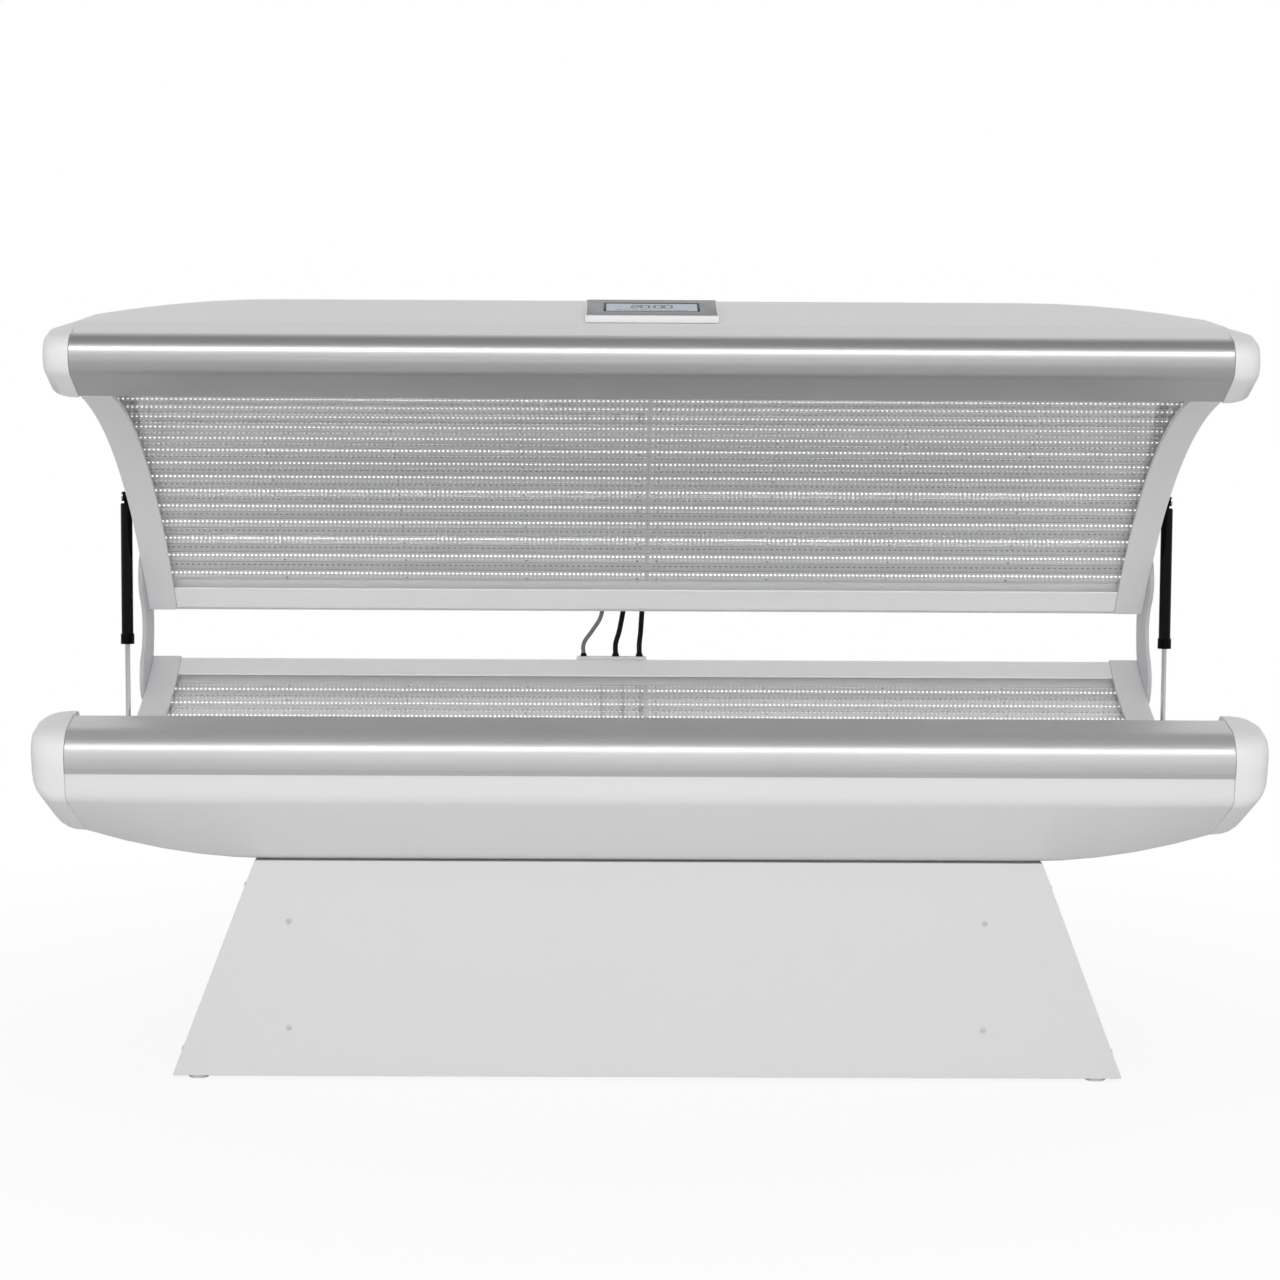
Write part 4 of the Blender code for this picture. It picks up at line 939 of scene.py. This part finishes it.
class BED_OT_pedestal(bpy.types.Operator):
    """Skirts, frame, feet, shelf, power supplies and the skirts' screws"""

    bl_idname = "bed.pedestal"
    bl_label = "Pedestal"

    def screws(self, sizes):
        """Screws in the front and rear skirts, and in the sloping side skirts."""
        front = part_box("front_skirt")[0].y
        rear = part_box("rear_skirt")[1].y
        places = []
        for x in SKIRT_SCREWS_X:
            for z in SKIRT_SCREWS_Z:
                places.append(facing(Vector((x, front, z)), (0, -1, 0)))
                places.append(facing(Vector((x, rear, z)), (0, 1, 0)))
        low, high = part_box("right_skirt")
        top = PEDESTAL_TOP_WIDTH / 2
        slope = (high.x - top) / (high.z - low.z)
        for _, sign in SIDES:
            for z in SIDE_SCREWS_Z:
                x = top + slope * (high.z - z)
                for y in (front + SIDE_SCREW_INSET, rear - SIDE_SCREW_INSET):
                    places.append(facing(Vector((sign * x, y, z)), (sign, 0, slope)))
        bm = stamped(screw_mesh(sizes.screw_diameter), places)
        add_piece("skirt_screws", bm, ["painted_steel"], "bench")

    def execute(self, context):
        sizes = context.scene.bed_sizes
        soft = sizes.edge_softness
        dress(["front_skirt", "rear_skirt", "left_skirt", "right_skirt"], 0.7 * soft)
        dress(["pedestal_frame", "equipment_shelf"], soft)
        for side, _ in SIDES:
            dress([f"{side}_front_foot", f"{side}_rear_foot"], soft, "pale_foot")
            dress([f"{side}_power_supply"])
        self.screws(sizes)
        return {"FINISHED"}


class BED_OT_fan_and_inlet(bpy.types.Operator):
    """Cooling fan with its finger guard, and the power inlet with its pins"""

    bl_idname = "bed.fan_and_inlet"
    bl_label = "Fan and inlet"

    def guard(self):
        """A plated wire guard on the rear skirt: rings on four spokes."""
        low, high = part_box("cooling_fan_frame")
        centre = (low + high) / 2
        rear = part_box("rear_skirt")[1].y
        place = facing(Vector((centre.x, rear + 2.5 * GUARD_WIRE, centre.z)), (0, 1, 0))
        upright = Matrix.Rotation(math.pi / 2, 4, "X")
        bm = bmesh.new()
        for ring in range(1, GUARD_RINGS + 1):
            wire = bmesh.ops.create_circle(bm, segments=6, radius=GUARD_WIRE)["verts"]
            shift = Matrix.Translation((ring * GUARD_RING_STEP, 0, 0))
            bmesh.ops.transform(bm, matrix=shift @ upright, verts=wire)
            edges = list({e for v in wire for e in v.link_edges})
            spin_profile(bm, wire, edges, place, GUARD_RING_SIDES)
        size = Vector((GUARD_SPOKE_LENGTH, 2 * GUARD_WIRE, 2 * GUARD_WIRE))
        place = Matrix.Translation((centre.x, rear + GUARD_WIRE, centre.z))
        for turn in (math.pi / 4, -math.pi / 4):
            add_block(bm, size, place @ Matrix.Rotation(turn, 4, "Y"), GUARD_SPOKE_ROUND)
        add_piece("fan_guard", bm, ["bright_steel"], "bench")

    def pins(self):
        low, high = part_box("power_inlet")
        centre = (low + high) / 2
        bm = bmesh.new()
        for x, z in PINS_XZ_MM:
            point = (centre.x + x * MM, high.y - PIN_DEPTH, centre.z + z * MM)
            add_block(bm, PIN_SIZE, Matrix.Translation(point), PIN_ROUND)
        add_piece("inlet_pins", bm, ["bright_steel"], "bench")

    def execute(self, context):
        soft = 0.5 * context.scene.bed_sizes.edge_softness
        dress(["cooling_fan_frame", "cooling_fan_impeller", "power_inlet"], soft)
        self.guard()
        self.pins()
        return {"FINISHED"}


class BED_OT_control_panel(bpy.types.Operator):
    """Control panel with its bezel, display and plain timer figures"""

    bl_idname = "bed.control_panel"
    bl_label = "Control panel"

    def digit(self, bm, text, place):
        """One seven segment figure."""
        side, end, half = FIGURE_WIDTH / 2, FIGURE_HEIGHT / 2, FIGURE_HEIGHT / 4
        across = (FIGURE_WIDTH, FIGURE_STROKE)
        upright = (FIGURE_STROKE, FIGURE_HEIGHT / 2)
        spots = {
            "a": (0, end, *across),
            "g": (0, 0, *across),
            "d": (0, -end, *across),
            "f": (-side, half, *upright),
            "b": (side, half, *upright),
            "e": (-side, -half, *upright),
            "c": (side, -half, *upright),
        }
        for mark in FIGURE_SEGMENTS[text]:
            x, y, wide, tall = spots[mark]
            size = Vector((wide, tall, FIGURE_THICKNESS))
            add_block(bm, size, place @ Matrix.Translation((x, y, 0)))

    def figures(self, place):
        """The time, and a row of bars under it."""
        bm = bmesh.new()
        for x, text in FIGURES_X_MM:
            self.digit(bm, text, place @ Matrix.Translation((x * MM, FIGURES_Y, 0)))
        for y in COLON_Y_MM:
            add_block(bm, COLON_DOT, place @ Matrix.Translation((0, y * MM, 0)))
        for x in BARS_X_MM:
            add_block(bm, BAR_SIZE, place @ Matrix.Translation((x * MM, BARS_Y, 0)))
        add_piece("timer_figures", bm, ["figures"], "canopy")

    def gasket(self, place, reach, height):
        """A black frame along the display's edges, from its half width and half height."""
        bm = bmesh.new()
        y = height - GASKET_INSET
        x = reach - GASKET_WIDTH / 2
        across = Vector((2 * reach, GASKET_WIDTH, GASKET_THICKNESS))
        upright = Vector((GASKET_WIDTH, 2 * y - GASKET_WIDTH, GASKET_THICKNESS))
        for side in (-1, 1):
            add_block(bm, across, place @ Matrix.Translation((0, side * y, 0)), GASKET_ROUND)
            add_block(bm, upright, place @ Matrix.Translation((side * x, 0, 0)), GASKET_ROUND)
        add_piece("display_gasket", bm, ["black_rubber"], "canopy")

    def bezel(self, panel, up):
        """The panel's front in silver paint."""
        mesh = panel.data
        mesh.materials.append(bed_materials()["silver_bezel"])
        for polygon in mesh.polygons:
            if polygon.normal.dot(up) > BEZEL_FACING:
                polygon.material_index = 1

    def execute(self, context):
        soft = context.scene.bed_sizes.edge_softness
        panel = dress(["control_panel"], soft, "white_cap")[0]
        dress(["control_display"])
        faces = frame["nodes"]["control_display"].data.polygons
        up = max(faces, key=lambda p: p.area * (p.normal.z > DISPLAY_UPWARD)).normal.copy()
        low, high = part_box("control_display")
        place = Matrix.Translation((low + high) / 2 + up * DISPLAY_LIFT) @ level_turn(up)
        self.figures(place)
        height = math.hypot(high.y - low.y, high.z - low.z) / 2
        self.gasket(place, (high.x - low.x) / 2, height)
        self.bezel(panel, up)
        return {"FINISHED"}


class BED_OT_leads(bpy.types.Operator):
    """Leads between the canopy and the bench, with their boots and grommets"""

    bl_idname = "bed.leads"
    bl_label = "Leads"

    def route(self, points, step):
        """Points about a step apart on a smooth curve through the route's points."""
        route = [Vector(p) for p in points]
        ends = [route[0] * 2 - route[1], *route, route[-1] * 2 - route[-2]]
        fine = []
        for a, b, c, d in zip(ends, ends[1:], ends[2:], ends[3:]):
            count = max(1, round((c - b).length / step))
            for i in range(count):
                t = i / count
                curve = 2 * b + (c - a) * t + (2 * a - 5 * b + 4 * c - d) * t**2
                fine.append(0.5 * (curve + (3 * b - a - 3 * c + d) * t**3))
        return fine + [route[-1]]

    def tube(self, name, points, diameter):
        """A round tube along a line, as a bmesh."""
        curve = bpy.data.curves.new(name, "CURVE")
        curve.dimensions = "3D"
        curve.bevel_depth = diameter / 2
        curve.bevel_resolution = 5
        curve.use_fill_caps = True
        spline = curve.splines.new("POLY")
        spline.points.add(len(points) - 1)
        for point, place in zip(spline.points, points):
            point.co = (*place, 1)
        holder = bpy.data.objects.new(name, curve)
        mesh = bpy.data.meshes.new_from_object(holder)
        bpy.data.objects.remove(holder)
        bpy.data.curves.remove(curve)
        bm = bmesh.new()
        bm.from_mesh(mesh)
        bpy.data.meshes.remove(mesh)
        bmesh.ops.remove_doubles(bm, verts=bm.verts, dist=MERGE_DISTANCE)
        return bm

    def boots(self, name, points, diameter):
        """Tapered rubber boots where a lead leaves its grommet."""
        profile = [(diameter / 2 + out * MM, far * MM) for out, far in BOOT_PROFILE_MM]
        ends = (("canopy", points[0], points[2]), ("bench", points[-1], points[-3]))
        for body, start, after in ends:
            bm = bmesh.new()
            add_turned(bm, profile, facing(start, after - start), steps=20)
            add_piece(f"{name}_{body}_boot", bm, ["black_rubber"], body)

    def execute(self, context):
        for name, diameter, leads_x in LEADS:
            fine = self.route(zip(leads_x, LEADS_Y, LEADS_Z), LEAD_STEP)
            slot = node_slot(name)
            tube = self.tube(name, fine, diameter)
            obj = add_piece(name + "_sheath", tube, [slot], None)
            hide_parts(name)
            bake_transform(obj)
            self.boots(name, fine, diameter)
        soft = context.scene.bed_sizes.edge_softness
        dress(["bench_lead_grommet", "canopy_lead_grommet"], soft, "white_cap")
        return {"FINISHED"}


class BED_OT_stage(bpy.types.Operator):
    """White floor, soft studio light and the camera"""

    bl_idname = "bed.stage"
    bl_label = "Stage"

    def floor_material(self, colour):
        """Matt white paint that keeps the soft shadow near the bed and fades into the white."""
        material, tree, _ = new_material("white_studio_floor")
        tree.nodes.clear()
        place = add_node(tree, "TexCoord").outputs["Object"]
        distance = add_node(tree, "VectorMath", links={0: place}, operation="LENGTH")
        span = {"From Min": 1.0, "From Max": 2.6, "To Min": 0.9, "To Max": 1.0}
        fade = add_node(tree, "MapRange", span, {"Value": distance.outputs["Value"]})
        ray = add_node(tree, "LightPath")
        # Under the pedestal the floor stays dark, so that nothing glows behind the fan
        spot = add_node(tree, "SeparateXYZ", links={"Vector": place})
        clear = []
        for axis, reach in FLOOR_HIDDEN:
            away = add_node(tree, "Math", links={0: spot.outputs[axis]}, operation="ABSOLUTE")
            past = add_node(
                tree, "Math", {1: reach}, {0: away.outputs[0]}, operation="GREATER_THAN"
            )
            clear.append(past.outputs[0])
        outside = add_node(tree, "Math", links={0: clear[0], 1: clear[1]}, operation="MAXIMUM")
        share = fade.outputs["Result"]
        for factor in (ray.outputs["Is Camera Ray"], outside.outputs[0]):
            times = add_node(tree, "Math", links={0: share, 1: factor}, operation="MULTIPLY")
            share = times.outputs[0]
        paint = add_node(tree, "BsdfDiffuse", {"Color": hex_linear(colour)})
        white = add_node(tree, "Emission", {"Color": WHITE, "Strength": 1.0})
        parts = {0: share, 1: paint.outputs[0], 2: white.outputs[0]}
        mix = add_node(tree, "MixShader", links=parts)
        add_node(tree, "OutputMaterial", links={"Surface": mix.outputs[0]})
        return material

    def floor(self, colour):
        bm = bmesh.new()
        bmesh.ops.create_circle(bm, cap_ends=True, segments=64, radius=FLOOR_RADIUS)
        mesh = finished_mesh("studio_floor", bm)
        mesh.materials.append(self.floor_material(colour))
        obj = bpy.data.objects.new("studio_floor", mesh)
        bpy.context.scene.collection.objects.link(obj)

    def world(self):
        """White for what the camera sees and what shows through the sheets, and a softer fill."""
        world = bpy.data.worlds.new("white_studio")
        bpy.context.scene.world = world
        world.use_nodes = True
        tree = world.node_tree
        tree.nodes.clear()
        ray = add_node(tree, "LightPath").outputs
        rays = {0: ray["Is Camera Ray"], 1: ray["Is Transmission Ray"]}
        seen = add_node(tree, "Math", links=rays, operation="MAXIMUM")
        way = add_node(tree, "TexCoord")
        height = add_node(tree, "SeparateXYZ", links={"Vector": way.outputs["Generated"]})
        # Gloss shows the room: white walls under a dark ceiling
        span = {"From Min": 0.70, "From Max": 0.86, "To Min": 1.0, "To Max": 0.3}
        ceiling = add_node(tree, "MapRange", span, {"Value": height.outputs["Z"]})
        glow = {"Strength": ceiling.outputs["Result"]}
        fill = add_node(tree, "Background", {"Color": WHITE, "Strength": 0.58})
        room = add_node(tree, "Background", {"Color": WHITE}, glow)
        white = add_node(tree, "Background", {"Color": WHITE, "Strength": 1.0})
        parts = {0: ray["Is Glossy Ray"], 1: fill.outputs[0], 2: room.outputs[0]}
        lit = add_node(tree, "MixShader", links=parts)
        parts = {0: seen.outputs[0], 1: lit.outputs[0], 2: white.outputs[0]}
        mix = add_node(tree, "MixShader", links=parts)
        add_node(tree, "OutputWorld", links={"Surface": mix.outputs[0]})

    def lamp(self, name, place, target, width, height, power):
        light = bpy.data.lights.new(name, "AREA")
        light.shape = "RECTANGLE"
        light.size = width
        light.size_y = height
        light.energy = power
        obj = bpy.data.objects.new(name, light)
        bpy.context.scene.collection.objects.link(obj)
        obj.location = place
        aim = Vector(target) - Vector(place)
        obj.rotation_euler = aim.to_track_quat("-Z", "Y").to_euler()
        return obj

    def camera(self, sizes):
        camera = bpy.data.cameras.new("photo_camera")
        camera.sensor_width = CAMERA_SENSOR
        camera.sensor_fit = "HORIZONTAL"
        camera.lens = CAMERA_LENS
        obj = bpy.data.objects.new("photo_camera", camera)
        bpy.context.scene.collection.objects.link(obj)
        obj.location = (CAMERA_X, BENCH_NOSE_Y - sizes.camera_distance, sizes.camera_height)
        obj.rotation_euler = [math.radians(turn) for turn in CAMERA_TURNS]
        bpy.context.scene.camera = obj

    def execute(self, context):
        self.floor(context.scene.bed_colours.floor)
        self.world()
        # The softbox lights the paint, and the strip draws the trims' highlights
        softbox = self.lamp(
            "front_softbox", (0, -7.5, 1.5), (0, 0, 0.9), width=5.0, height=3.0, power=215
        )
        softbox.visible_glossy = False
        strip = self.lamp(
            "strip_lamp", (0, -5.2, 4.8), (0, -0.4, 1.0), width=8.0, height=0.35, power=130
        )
        strip.visible_diffuse = False
        self.camera(context.scene.bed_sizes)
        context.scene.view_settings.view_transform = "Standard"
        return {"FINISHED"}


OPERATORS = (
    BED_OT_stage,
    BED_OT_leads,
    BED_OT_shells,
    BED_OT_trims,
    BED_OT_end_caps,
    BED_OT_cheeks_and_rails,
    BED_OT_clear_sheets,
    BED_OT_led_trays,
    BED_OT_hinges,
    BED_OT_struts,
    BED_OT_pedestal,
    BED_OT_fan_and_inlet,
    BED_OT_control_panel,
)


class BED_PT_dresser(bpy.types.Panel):
    """Lists the bed's sizes and colours and the operators that dress it"""

    bl_label = "Light therapy bed"
    bl_idname = "BED_PT_dresser"
    bl_space_type = "VIEW_3D"
    bl_region_type = "UI"
    bl_category = "Bed"

    def draw(self, context):
        layout = self.layout
        for group in (context.scene.bed_sizes, context.scene.bed_colours):
            for key in group.__annotations__:
                layout.prop(group, key)
        for operator in OPERATORS:
            layout.operator(operator.bl_idname)


CLASSES = (BedSizes, BedColours, *OPERATORS, BED_PT_dresser)


def register():
    for cls in CLASSES:
        bpy.utils.register_class(cls)
    bpy.types.Scene.bed_sizes = bpy.props.PointerProperty(type=BedSizes)
    bpy.types.Scene.bed_colours = bpy.props.PointerProperty(type=BedColours)


def unregister():
    del bpy.types.Scene.bed_colours
    del bpy.types.Scene.bed_sizes
    for cls in reversed(CLASSES):
        bpy.utils.unregister_class(cls)


def main():
    register()
    bpy.ops.bed.stage()
    bpy.ops.bed.leads()
    bpy.ops.bed.shells()
    bpy.ops.bed.trims()
    bpy.ops.bed.end_caps()
    bpy.ops.bed.cheeks_and_rails()
    bpy.ops.bed.clear_sheets()
    bpy.ops.bed.led_trays()
    bpy.ops.bed.hinges()
    bpy.ops.bed.struts()
    bpy.ops.bed.pedestal()
    bpy.ops.bed.fan_and_inlet()
    bpy.ops.bed.control_panel()


if __name__ == "__main__":
    main()
